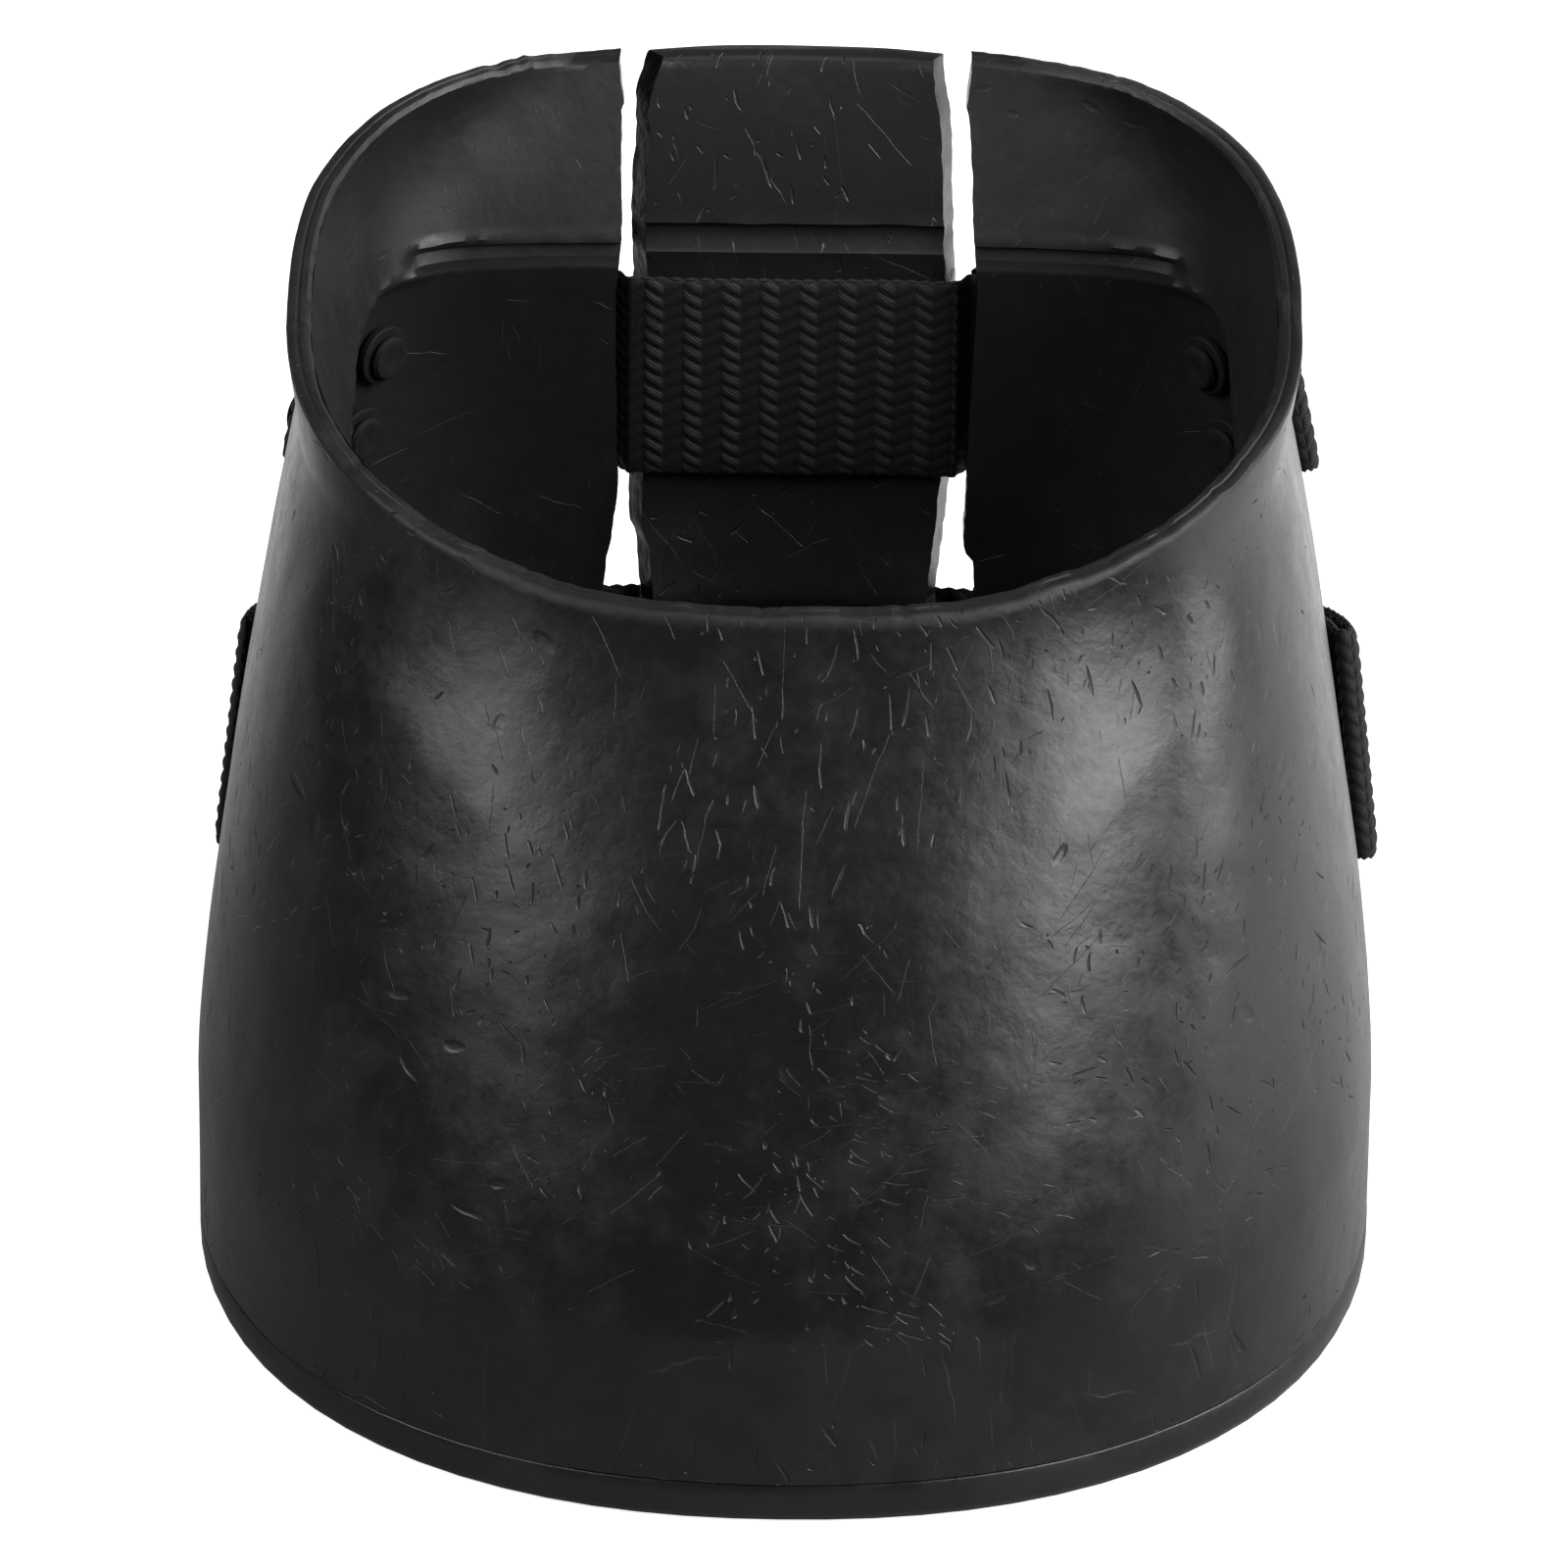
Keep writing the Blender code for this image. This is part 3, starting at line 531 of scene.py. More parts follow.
def cut(target, tool):
    boolean = target.modifiers.new("cut", "BOOLEAN")
    boolean.operation = "DIFFERENCE"
    boolean.solver = "EXACT"
    boolean.object = tool
    apply_all(target)
    bpy.data.objects.remove(tool, do_unlink=True)


def lofted(name, mesh_name, rings, material, degrees, layer=None, endless=False):
    thing = new_object(name, loft(mesh_name, rings, layer, endless), material)
    smooth(thing, degrees)
    return thing


# Shader maths


class Graph:
    """Node tree of one material, with its Principled shader."""

    def __init__(self, name):
        self.material = bpy.data.materials.new(name)
        self.material.use_nodes = True
        self.tree = self.material.node_tree
        self.shader = self.tree.nodes["Principled BSDF"]

    def node(self, kind, sockets=(), output=0, **settings):
        made = self.tree.nodes.new("ShaderNode" + kind)
        for key, value in settings.items():
            setattr(made, key, value)
        self.fill(made, sockets)
        return Wire(self, made.outputs[output])

    def fill(self, made, sockets):
        for key, value in dict(sockets).items():
            if isinstance(value, Wire):
                self.tree.links.new(value.socket, made.inputs[key])
            else:
                made.inputs[key].default_value = value

    def look(self, colour, roughness, others=()):
        """The finished material. The others are further sockets of the shader."""
        self.fill(self.shader, {"Base Color": colour, "Roughness": roughness, **dict(others)})
        return self.material

    def bump(self, relief, strength=1.0, distance=0.001):
        return self.node("Bump", {"Strength": strength, "Distance": distance, "Height": relief})

    def math(self, operation, *values):
        return self.node("Math", dict(enumerate(values)), operation=operation)

    def colour(self, low, high, share):
        low, high = (value if isinstance(value, Wire) else (*value, 1) for value in (low, high))
        return self.node("Mix", {0: share, 6: low, 7: high}, output=2, data_type="RGBA")

    def place(self):
        return self.node("TexCoord", output=3)

    def texture(self, place, pitch, detail=2.0, roughness=0.5):
        """Noise around 0.5 whose bumps have this pitch in metres."""
        sockets = {"Vector": place, "Scale": 1 / pitch, "Detail": detail, "Roughness": roughness}
        return self.node("TexNoise", sockets)

    def step(self, value, low, high):
        """0 below low, 1 above high, smooth between them."""
        sockets = {"Value": value, "From Min": low, "From Max": high}
        return self.node("MapRange", sockets, interpolation_type="SMOOTHSTEP")

    def split(self, place):
        outputs = self.node("SeparateXYZ", {0: place}).socket.node.outputs
        return [Wire(self, outputs[index]) for index in range(3)]

    def join(self, x, y, z=0.0):
        return self.node("CombineXYZ", {0: x, 1: y, 2: z})


class Wire:
    """A socket that can stand in sums."""

    def __init__(self, graph, socket):
        self.graph = graph
        self.socket = socket

    def __add__(self, other):
        return self.graph.math("ADD", self, other)

    def __radd__(self, other):
        return self.graph.math("ADD", other, self)

    def __sub__(self, other):
        return self.graph.math("SUBTRACT", self, other)

    def __rsub__(self, other):
        return self.graph.math("SUBTRACT", other, self)

    def __mul__(self, other):
        return self.graph.math("MULTIPLY", self, other)

    def __rmul__(self, other):
        return self.graph.math("MULTIPLY", other, self)

    def __truediv__(self, other):
        return self.graph.math("DIVIDE", self, other)

    def __rtruediv__(self, other):
        return self.graph.math("DIVIDE", other, self)


def strokes(graph, u, v, cell, length, width, keep, lean, spread, seed):
    """Scattered marks, one at most to a cell, each a thin ellipse turned by the lean and a random spread."""
    cells = {"Vector": graph.join(u / cell, v / cell, seed), "Scale": 1.0, "Randomness": 1.0}
    spot_u, spot_v, _ = graph.split(graph.node("TexVoronoi", cells, output=2))
    red, green, blue = graph.split(graph.node("TexVoronoi", cells, output=1))
    away_u = u - spot_u * cell
    away_v = v - spot_v * cell
    turn = (red - 0.5) * spread + lean
    cosine = graph.math("COSINE", turn)
    sine = graph.math("SINE", turn)
    along = (away_u * cosine + away_v * sine) / (length * (green * 0.8 + 0.3))
    across = (away_v * cosine - away_u * sine) / width
    far = along * along + across * across
    kept = graph.math("LESS_THAN", blue, keep)
    return (1 - graph.step(far, 0.0, 1.0)) * kept


def wall_uv(graph):
    return graph.split(graph.node("UVMap"))[:2]


def rubber_material(name, tint=WALL_TINT, on_wall=True, cut_face=False):
    """Satin moulded rubber: clouds of dust, gouges, scratches and hairlines, duller inside. The inner face
    is painted paler as fill light and the gouges are darkened as painted shade.
    """
    graph = Graph(name)
    place = graph.place()
    cloud = graph.texture(place, 0.026, 5.0, 0.6)
    patch = graph.texture(place, 0.0065, 6.0, 0.65)
    wave = graph.texture(place, 0.014, 2.0, 0.45)
    ripple = graph.texture(place, 0.004, 3.0)
    fine = graph.texture(place, 0.0013, 4.0, 0.65)
    rub = graph.step(cloud + (patch - 0.5) * 0.6, 0.42, 0.72)
    relief = (wave - 0.5) * 0.26 + (ripple - 0.5) * 0.075 + (patch - 0.5) * 0.05 + (fine - 0.5) * 0.035
    gouge_with_painted_shade = hair = scuff = inside = trim = 0.0
    if on_wall:
        u, v = wall_uv(graph)
        inside = graph.step(v, *INSIDE_ROWS)
        trim = graph.step(v, *TRIM_ROWS) * (1 - inside)
        u = u + (graph.texture(place, 0.0034) - 0.5) * 0.0008
        v = v + (graph.texture(place, 0.0046) - 0.5) * 0.0012
        zone = graph.step(graph.texture(place, 0.021), 0.47, 0.56)
        other = graph.step(graph.texture(place, 0.034), 0.47, 0.6)
        drift = (graph.texture(place, 0.05, 1.0) - 0.5) * 6.0
        marks = partial(strokes, graph, u, v)
        gouge_with_painted_shade = marks(0.0058, 0.0027, 0.00028, 0.62, drift + 1.85, 0.9, 1.0) * zone
        gouge_with_painted_shade = gouge_with_painted_shade + marks(0.0041, 0.0008, 0.0002, 0.45, drift + 1.7, 2.6, 2.0) * zone
        gouge_with_painted_shade = gouge_with_painted_shade + marks(0.0125, 0.003, 0.00024, 0.34, drift + 0.4, 2.0, 5.0) * other
        gouge_with_painted_shade = gouge_with_painted_shade * (1 - inside)
        dent = marks(0.011, 0.0026, 0.0011, 0.45, drift, 3.0, 7.0) * other
        scuff = marks(0.0052, 0.0024, 0.00013, 0.8, drift + 1.4, 0.7, 8.0)
        scuff = scuff * graph.step(graph.texture(place, 0.013), 0.53, 0.62)
        hair = marks(0.017, 0.008, 0.00009, 0.75, 0.9, 1.6, 3.0)
        hair = hair + marks(0.012, 0.006, 0.00007, 0.6, 2.1, 2.6, 4.0)
        hair = hair + marks(0.0075, 0.0038, 0.00006, 0.55, 0.3, 3.0, 6.0) * other
        relief = relief - gouge_with_painted_shade * 0.2 - hair * 0.05 - dent * 0.07 + scuff * 0.06
    dust_and_fill_light = graph.colour(tint, DUST, rub * 0.34)
    # Painted fill light: the inner face is mixed towards the paler inner tint
    dust_and_fill_light = graph.colour(dust_and_fill_light, INNER_PAINTED_FILL_TINT, inside * 0.75)
    marked = graph.colour(dust_and_fill_light, SCRATCH_TINT, graph.math("MINIMUM", hair * 0.2 + scuff * 0.26, 1.0))
    # Painted shade: the gouges are darkened as if shade fell into them, besides their bump and roughness
    dark = graph.colour(marked, GOUGE_PAINTED_SHADE_TINT, graph.math("MINIMUM", gouge_with_painted_shade, 1.0) * 0.8)
    roughness = 0.29 + rub * 0.04 + (patch - 0.5) * 0.1 + (fine - 0.5) * 0.16
    roughness = roughness + gouge_with_painted_shade * 0.35 + inside * 0.14 + trim * 0.26
    others = {}
    # Knife cuts: ripple relief, and their specular nearly off as painted shadow
    if cut_face:
        relief = relief + (ripple - 0.5) * 0.5
        others["Specular IOR Level"] = 0.03
    others["Normal"] = graph.bump(relief, 0.9)
    return graph.look(dark, roughness, others)


def webbing_material(name):
    """Black yarn: slanted floats in columns, every other column prouder, and yarn loops along the edges,
    their tops painted lighter as highlight.
    """
    graph = Graph(name)
    u, v = wall_uv(graph)
    side = graph.math("PINGPONG", graph.math("FLOOR", u / COLUMN), 1.0) * 2 - 1
    inside = graph.math("FRACT", u / COLUMN) - 0.5
    wander = graph.texture(graph.join(u / 0.004, v / 0.004), 1.0) * 0.5
    lean = graph.math("FRACT", v / RIB + inside * side * FLOAT_LEAN + wander) - 0.5
    ridge = graph.math("MAXIMUM", 1 - lean * lean * 7.0, 0.0)
    end = graph.math("MAXIMUM", 1 - graph.math("POWER", graph.math("ABSOLUTE", inside * 2.0), 3.0), 0.0)
    proud = 0.16 + (1 - side) * 0.34
    float_height = graph.math("SQRT", ridge * end) * proud
    twist = graph.math("SINE", (u * side * 0.8 + v) * (tau / YARN_TWIST))
    fuzz = graph.texture(graph.place(), 0.0004, 3.0, 0.65)
    relief = float_height * 0.32 + twist * float_height * 0.03 + fuzz * 0.09
    # Painted highlight: the float tops are lighter, most on the prouder columns, mixed with the yarn's
    # random fuzz
    glow = float_height * (fuzz * 0.9 + 0.3)
    around = graph.math("FRACT", v / (WEB_WIDTH + WEB))
    edge = graph.math("GREATER_THAN", around, WEB_WIDTH / (WEB_WIDTH + WEB))
    near = (graph.math("FRACT", u / EDGE_PITCH) - 0.5) * 2.0
    high = (around - (WEB_WIDTH + WEB / 2) / (WEB_WIDTH + WEB)) * (2 * (WEB_WIDTH + WEB) / WEB)
    reach = graph.math("SQRT", near * near * 0.8 + high * high) - 0.62
    yarn = graph.math("MAXIMUM", 1 - reach * reach * 14.0, 0.0)
    # Painted highlight on the yarn loops along the edges as well
    glow = glow * (1 - edge) + yarn * edge * (fuzz * 0.8 + 0.5)
    relief = relief * (1 - edge) + yarn * edge * 0.22
    shade = graph.colour((0.0035, 0.0035, 0.0036), (0.013, 0.013, 0.0126), glow)
    others = {"Specular IOR Level": 0.45, "Sheen Weight": 0.04, "Sheen Roughness": 0.4}
    return graph.look(shade, 0.58 + fuzz * 0.25, {**others, "Normal": graph.bump(relief)})


def metal_material(name, colour, roughness, metallic=1.0, shine=0.5):
    graph = Graph(name)
    wear = graph.texture(graph.place(), 0.0016, 4.0, 0.6)
    fine = graph.texture(graph.place(), 0.0003)
    dull = tuple(part * 0.72 for part in colour)
    worn = graph.colour(dull, colour, graph.step(wear, 0.35, 0.6))
    bump = graph.bump(wear * 0.05 + fine * 0.02, 0.5, 0.0005)
    others = {"Metallic": metallic, "Specular IOR Level": shine, "Normal": bump}
    return graph.look(worn, roughness + (wear - 0.5) * 0.3, others)


def pile_material(name, pitch, roughness):
    graph = Graph(name)
    loops = graph.node("TexVoronoi", {"Vector": graph.place(), "Scale": 1 / pitch})
    fuzz = graph.texture(graph.place(), pitch / 2, 4.0, 0.7)
    light = graph.colour((0.004, 0.004, 0.004), (0.026, 0.026, 0.027), loops * fuzz * 2)
    return graph.look(light, roughness + fuzz * 0.1, {"Normal": graph.bump(fuzz * 0.3 - loops * 0.5)})


def thread_material(name):
    graph = Graph(name)
    fuzz = graph.texture(graph.place(), 0.0004, 3.0, 0.6)
    light = graph.colour((0.008, 0.008, 0.008), (0.04, 0.04, 0.04), fuzz)
    return graph.look(light, 0.5 + fuzz * 0.2, {"Normal": graph.bump(fuzz * 0.3, 1.0, 0.0005)})


# Straps


class Band:
    """Way of a strap round the heel. Distances run from the middle of the heel, positive to the right."""

    def __init__(self, heel_height, rise, rise_end, reach, tab_length, tail_length):
        level = cos(RISE_START)
        climb = cos(rise_end) - level
        self.points = []
        for step in range(BAND_STEPS + 1):
            angle = pi * (1 - step / BAND_STEPS)
            height = heel_height + rise * max((abs(cos(angle)) - level) / climb, 0) ** RISE_CURVE
            self.points.append(outer_point(angle, height))
        distances = [0]
        for before, after in zip(self.points, self.points[1:]):
            distances.append(distances[-1] + (after - before).length)
        self.distances = [distance - distances[-1] / 2 for distance in distances]
        self.end = reach
        self.front_bar = self.end - tab_length
        self.rear_bar = self.front_bar - RING_SPAN
        self.tip = self.rear_bar - tail_length
        self.patch_start = self.rear_bar - FOLD_LEAD - PATCH_END_MARGIN
        self.ring_frame = self.frame((self.front_bar + self.rear_bar) / 2, RING_SPAN / 2)

    def centre(self, distance):
        index = 1
        while index < len(self.distances) - 1 and self.distances[index] < distance:
            index += 1
        start, stop = self.distances[index - 1], self.distances[index]
        return self.points[index - 1].lerp(self.points[index], (distance - start) / (stop - start))

    def frame(self, distance, reach=ROW_STEP):
        """X runs along the band, Y down across it and Z out, with all the wall within reach below Z = 0."""
        centre = self.centre(distance)
        along = (self.centre(distance + ROW_STEP / 2) - self.centre(distance - ROW_STEP / 2)).normalized()
        out = normal_at(centre)
        across = out.cross(along).normalized()
        edges = []
        for side in (-1, 1):
            edge = centre + across * side * WEB_WIDTH / 2
            edges.append(edge + out * distance_to_wall(edge, out))
        across = (edges[1] - edges[0]).normalized()
        out = along.cross(across).normalized()
        along = across.cross(out)
        middle = (edges[0] + edges[1]) / 2
        bulge = 0
        for step in (-1, 0, 1):
            for share in BULGE_SHARES:
                point = middle + along * step * reach + across * share * WEB_WIDTH / 2
                bulge = max(bulge, distance_to_wall(point, out))
        frame = Matrix((along, across, out)).transposed().to_4x4()
        frame.translation = middle + out * (bulge + LAYER_GAP)
        return frame

    def row(self, distance, height):
        return Row(self.frame(distance), 0, height)

    def rows(self, start, stop, height, drop=None):
        count = max(round(abs(stop - start) / ROW_STEP), 1)
        places = spread(start, stop, count)
        return [self.row(place, height - (drop(place) if drop else 0)) for place in places]


class Row:
    """Section across a webbing layer: its low middle, its directions across and outwards, its narrowing."""

    def __init__(self, frame, along, height):
        self.middle = frame @ Vector((along, 0, height))
        self.across = frame.to_3x3().col[1].normalized()
        self.out = frame.to_3x3().col[2].normalized()
        self.narrow = 1.0

    def flipped(self):
        self.middle = self.middle + self.out * WEB
        self.out = -self.out
        return self

    def between(self, other, share):
        made = Row.__new__(Row)
        made.middle = self.middle.lerp(other.middle, share)
        made.across = self.across.lerp(other.across, share).normalized()
        made.out = self.out.lerp(other.out, share).normalized()
        made.narrow = mix(self.narrow, other.narrow, share)
        return made


def fold_rows(frame, along, height, radius, direction):
    """Rows of webbing turned round a bar, from its wall side to its outer side."""
    made = []
    for step in range(FOLD_STEPS + 1):
        turn = pi * step / FOLD_STEPS
        inner = Vector((direction * sin(turn), 0, -cos(turn)))
        row = Row(frame, 0, 0)
        row.out = -(frame.to_3x3() @ inner).normalized()
        row.middle = frame @ (Vector((along, 0, height)) + inner * (radius + WEB))
        made.append(row)
    return made


def weave(u, v):
    """Relief of slanted floats in columns that run across the webbing, every other column prouder."""
    column = floor(u / COLUMN)
    side = 1 if column % 2 else -1
    inside = u / COLUMN - column - 0.5
    lean = (v / RIB + inside * side * FLOAT_LEAN) % 1 - 0.5
    ridge = max(1 - lean * lean * 7.0, 0) * max(1 - abs(inside * 2) ** 3, 0)
    return WEAVE_DEPTH * (sqrt(ridge) * (0.45 + (1 - side) * 0.275) - 0.7)


def webbing(name, rows, material, seed, endless=False):
    """Woven strap through the rows: floats in relief, yarn loops along the edges and pressed ends."""
    fine = []
    lengths = [0]
    for before, after in zip(rows, rows[1:]):
        span = (after.middle - before.middle).length
        count = max(round(span / WEAVE_STEP), 1)
        for step in range(count):
            fine.append(before.between(after, step / count))
            lengths.append(lengths[-1] + span / count)
    if not endless:
        fine.append(rows[-1])
    across_count = round(WEB_WIDTH / WEAVE_STEP)
    rings = []
    for row, u in zip(fine, lengths):
        ring = []
        half = WEB_WIDTH / 2 * row.narrow
        wander = EDGE_WANDER * rough(row.middle, 0.006, seed)
        scallop = abs(sin(pi * u / EDGE_PITCH))
        pressed = 1 if endless else 0.5 + 0.5 * ease(min(u, lengths[-1] - u) / PRESSED_END)
        low_half = (WEB / 2 - PRESSED) * pressed
        for side in (-1, 1):
            for step in range(across_count + 1):
                share = -side * (step / across_count * 2 - 1)
                v = share * half
                rounding = 1 - abs(share) ** 18
                lift = WEB / 2 + side * low_half * (0.5 + 0.5 * rounding)
                lift += side * weave(u, v + WEB_WIDTH) * rounding * pressed
                ring.append(row.middle + row.across * (v + wander) + row.out * lift)
            for step in range(1, EDGE_COUNT):
                share = step / EDGE_COUNT
                bulge = (YARN_LOOP * scallop + YARN_LOOP_FOOT) * sin(pi * share)
                lift = WEB / 2 + side * low_half * 0.5 * (1 - 2 * share)
                ring.append(row.middle + row.across * (-side * (half + bulge) + wander) + row.out * lift)
        rings.append(ring)

    def layer(row, index):
        turns, place = divmod(index, across_count + EDGE_COUNT)
        if place < across_count:
            v = WEB_WIDTH * place / across_count
        else:
            v = WEB_WIDTH + WEB * (place - across_count) / EDGE_COUNT
        return (lengths[row], turns * (WEB_WIDTH + WEB) + v)

    return lofted(name, name, rings, material, 60, layer, endless)


def heel_dip(distance):
    """How far the upper strap sinks between the flaps, where it passes inside the tongue."""
    start, stop = DIP_RIGHT if distance > 0 else DIP_LEFT
    return STRAP_DIP * clamp((start - abs(distance)) / (start - stop))


def strap_rows(band, drop):
    stops = [-band.end, -DIP_LEFT[0], -DIP_LEFT[1], DIP_RIGHT[1], DIP_RIGHT[0], band.rear_bar - FOLD_LEAD]
    rows = []
    for start, stop in zip(stops, stops[1:]):
        piece = band.rows(start, stop, GAP, drop)
        rows += piece if not rows else piece[1:]
    turn_height = GAP + WEB + STRAP_FOLD_RADIUS
    return rows + fold_rows(band.ring_frame, STRAP_FOLD_ALONG, turn_height, STRAP_FOLD_RADIUS, 1)


def tab_rows(band):
    """Sling of webbing: along the wall, round the ring's front bar, back on itself and turned under."""
    radius = WIRE_RADIUS + GAP
    front = band.front_bar
    rows = band.rows(band.end, front + FOLD_LEAD, GAP)
    rows += fold_rows(band.ring_frame, RING_SPAN / 2, BAR_HEIGHT, radius, -1)
    upper_start = BAR_HEIGHT + radius
    upper_stop = GAP + WEB + LAYER_GAP
    back_run = [Row(band.ring_frame, RING_SPAN / 2 + WIRE_RADIUS, upper_start)]
    count = round(TAB_TAPER / ROW_STEP)
    for step in range(1, count + 1):
        share = step / count
        height = mix(upper_start, upper_stop, ease(share))
        back_run.append(band.row(front + TAB_TAPER * share, height))
    back_run += band.rows(front + TAB_TAPER, band.end, upper_stop)[1:]
    turn_back = fold_rows(band.frame(band.end), 0, GAP + WEB + LAYER_GAP / 2, LAYER_GAP / 2, 1)
    return rows + [row.flipped() for row in back_run] + turn_back[::-1]


def tail_rows(band):
    rows = [Row(band.ring_frame, STRAP_FOLD_ALONG - GAP, TAIL_HEIGHT)]
    rows += band.rows(band.rear_bar - FOLD_LEAD, band.tip + TAIL_CLIP, TAIL_HEIGHT)
    last = band.row(band.tip, TAIL_HEIGHT)
    last.narrow = 1 - 2 * TAIL_CLIP / WEB_WIDTH
    rows.append(last)
    return rows


def place_piece(piece, node, body):
    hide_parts(node)
    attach(piece, body)


def circle(frame, radius, height, sides=40):
    turns = full_turn(sides)
    return [frame @ Vector((radius * cos(turn), radius * sin(turn), height)) for turn in turns]


def rivet_frames(band, distance, drop):
    """Frames of two rivets, one above the other across the band."""
    frame = band.frame(distance)
    return [frame @ Matrix.Translation((0, drop + side * RIVET_SPREAD, 0)) for side in (-1, 1)]


def washer_seat(frame):
    """Height in the band's frame at which a washer clears the inner face of the wall all round."""
    out = frame.to_3x3().col[2].normalized()
    heights = []
    for point in circle(frame, WASHER_RADIUS, 0, 14):
        reach = distance_to_wall(point, out)
        skin = point + out * reach
        heights.append(reach - wall_at(skin.z) / normal_at(skin).dot(out))
    return min(heights) - GAP


def rivet_set(prefix, frames, grip, material):
    """Domed rivets over a grip of webbing, each set over its washer inside the wall."""
    under_head = grip + GAP + WEAVE_DEPTH
    hole = SHANK_RADIUS + GAP
    edge = WASHER * 0.22
    for number, frame in enumerate(frames, 1):
        seat = washer_seat(frame)
        under_set = seat - WASHER - GAP
        profile = [(SET_RADIUS * across, under_set - SET_HEIGHT * down) for across, down in SET_PROFILE]
        profile += [(SHANK_RADIUS, under_set), (SHANK_RADIUS, under_head), (HEAD_RADIUS * 0.97, under_head)]
        for step in range(HEAD_STEPS):
            turn = pi / 2 * step / HEAD_STEPS
            dome = under_head + HEAD_HEIGHT * (0.12 + 0.88 * sin(turn))
            profile.append((HEAD_RADIUS * cos(turn), dome))
        name = f"{prefix}_rivet_{number}"
        rings = [circle(frame, *ring) for ring in profile]
        rivet = lofted(name + "_turned", name, rings, material, 40)
        place_piece(rivet, name, "shell")
        name = f"{prefix}_washer_{number}"
        low = seat - WASHER
        section = ((WASHER_RADIUS, low + edge), (WASHER_RADIUS, seat), (hole, seat), (hole, low))
        section += ((WASHER_RADIUS - edge, low),)
        rings = [list(ring) for ring in zip(*[circle(frame, *corner) for corner in section])]
        washer = lofted(name + "_pressed", name, rings, material, 40, endless=True)
        place_piece(washer, name, "shell")


def wire_ring(prefix, band, material):
    """Steel wire bent to a rounded rectangle, its ends butt welded in the middle of the rear bar."""
    half_width = WEB_WIDTH / 2 + RING_SIDE_CLEARANCE + WIRE_RADIUS
    half_span = RING_SPAN / 2
    bar_end = half_width - RING_CORNER
    path = []
    for quarter in range(4):
        side_x = 1 if quarter in (0, 3) else -1
        side_y = 1 if quarter in (0, 1) else -1
        middle = Vector((side_x * (half_span - RING_CORNER), side_y * bar_end, BAR_HEIGHT))
        for step in range(FOLD_STEPS + 1):
            path.append(middle + RING_CORNER * bearing(pi / 2 * (quarter + step / FOLD_STEPS)))
        if quarter == 1:
            across = [mix(bar_end, -bar_end, share) for share in WELD_SHARES]
            path += [Vector((-half_span, y, BAR_HEIGHT)) for y in across]
    rings = []
    for index, point in enumerate(path):
        along = (path[(index + 1) % len(path)] - path[index - 1]).normalized()
        outward = along.cross(UP)
        weld = WELD * bell(point.y, WELD_WIDTH) if point.x < -half_span * 0.99 else 0
        ring = []
        for turn in full_turn(WIRE_SIDES):
            place = point + (outward * cos(turn) + UP * sin(turn)) * (WIRE_RADIUS + weld)
            ring.append(band.ring_frame @ place)
        rings.append(ring)
    name = prefix + "_ring"
    ring = lofted(name + "_wire", name, rings, material, 50, endless=True)
    place_piece(ring, name, name)


def closure_patch(name, band, height, material, body, nap, seed):
    """Half of the hook and loop closure: a strip on the band with rounded edges and a raised nap."""
    pitch, depth = nap
    coarse = band.rows(band.patch_start, band.tip + TAIL_CLIP + GAP, height)
    half = WEB_WIDTH / 2 - PATCH_MARGIN
    across_count = round(2 * half / pitch * 2)
    rings = []
    for before, after in zip(coarse, coarse[1:]):
        count = max(round((after.middle - before.middle).length / pitch * 2), 1)
        for step in range(count):
            row = before.between(after, step / count)
            low = []
            high = []
            for column in range(across_count + 1):
                share = column / across_count * 2 - 1
                edge = 1 - abs(share) ** 16
                spot = row.middle + row.across * (share * half)
                hollow = depth * (rough(spot, pitch, seed) * 0.5 + 0.5) * edge
                low.append(spot + row.out * (depth * 0.5 * (1 - edge)))
                high.append(spot + row.out * (PATCH - hollow - depth * 0.6 * (1 - edge)))
            rings.append(low + high[::-1])
    place_piece(lofted(name + "_nap", name, rings, material, 60), name, body)


def stitches(name, spots, body, material):
    """Short waxed threads, each a little bow over the webbing. A spot is its start, its end and outwards."""
    builder = bmesh.new()
    for start, stop, out in spots:
        side = (stop - start).cross(out).normalized()
        loops = []
        for step in range(STITCH_STEPS + 1):
            share = step / STITCH_STEPS
            bow = sin(pi * share)
            centre = start.lerp(stop, share) + out * (THREAD * (bow * 1.1 - 0.55))
            radius = THREAD * (0.55 + 0.45 * bow)
            loops.append([
                builder.verts.new(centre + (side * cos(turn) + out * sin(turn) * 0.8) * radius)
                for turn in full_turn(THREAD_SIDES)
            ])
        for low, high in zip(loops, loops[1:]):
            bridge(builder, low, high)
        builder.faces.new(loops[0][::-1])
        builder.faces.new(loops[-1])
    thread = new_object(name, built_mesh(name, builder), material)
    smooth(thread, 60)
    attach(thread, body)


def stitch_spots(corners):
    """Runs of stitches from corner to corner, each corner a place and its outward direction."""
    spots = []
    for (start, start_out), (stop, stop_out) in zip(corners, corners[1:]):
        length = (stop - start).length
        count = max(round(length / (STITCH + STITCH_GAP)), 1)
        for index in range(count):
            low = (index + 0.12) / count
            high = (index + 0.88) / count
            out = start_out.lerp(stop_out, (low + high) / 2).normalized()
            spots.append((start.lerp(stop, low), start.lerp(stop, high), out))
    return spots


def seam_corners(band, distances, height, half):
    """Corners of a rectangular seam on top of the webbing, along both sides of the band."""
    corners = []
    there = [(band.row(distance, height + WEB), 1) for distance in distances]
    back = [(band.row(distance, height + WEB), -1) for distance in reversed(distances)]
    for row, side in there + back + there[:1]:
        corners.append((row.middle + row.across * side * half, row.out))
    return corners


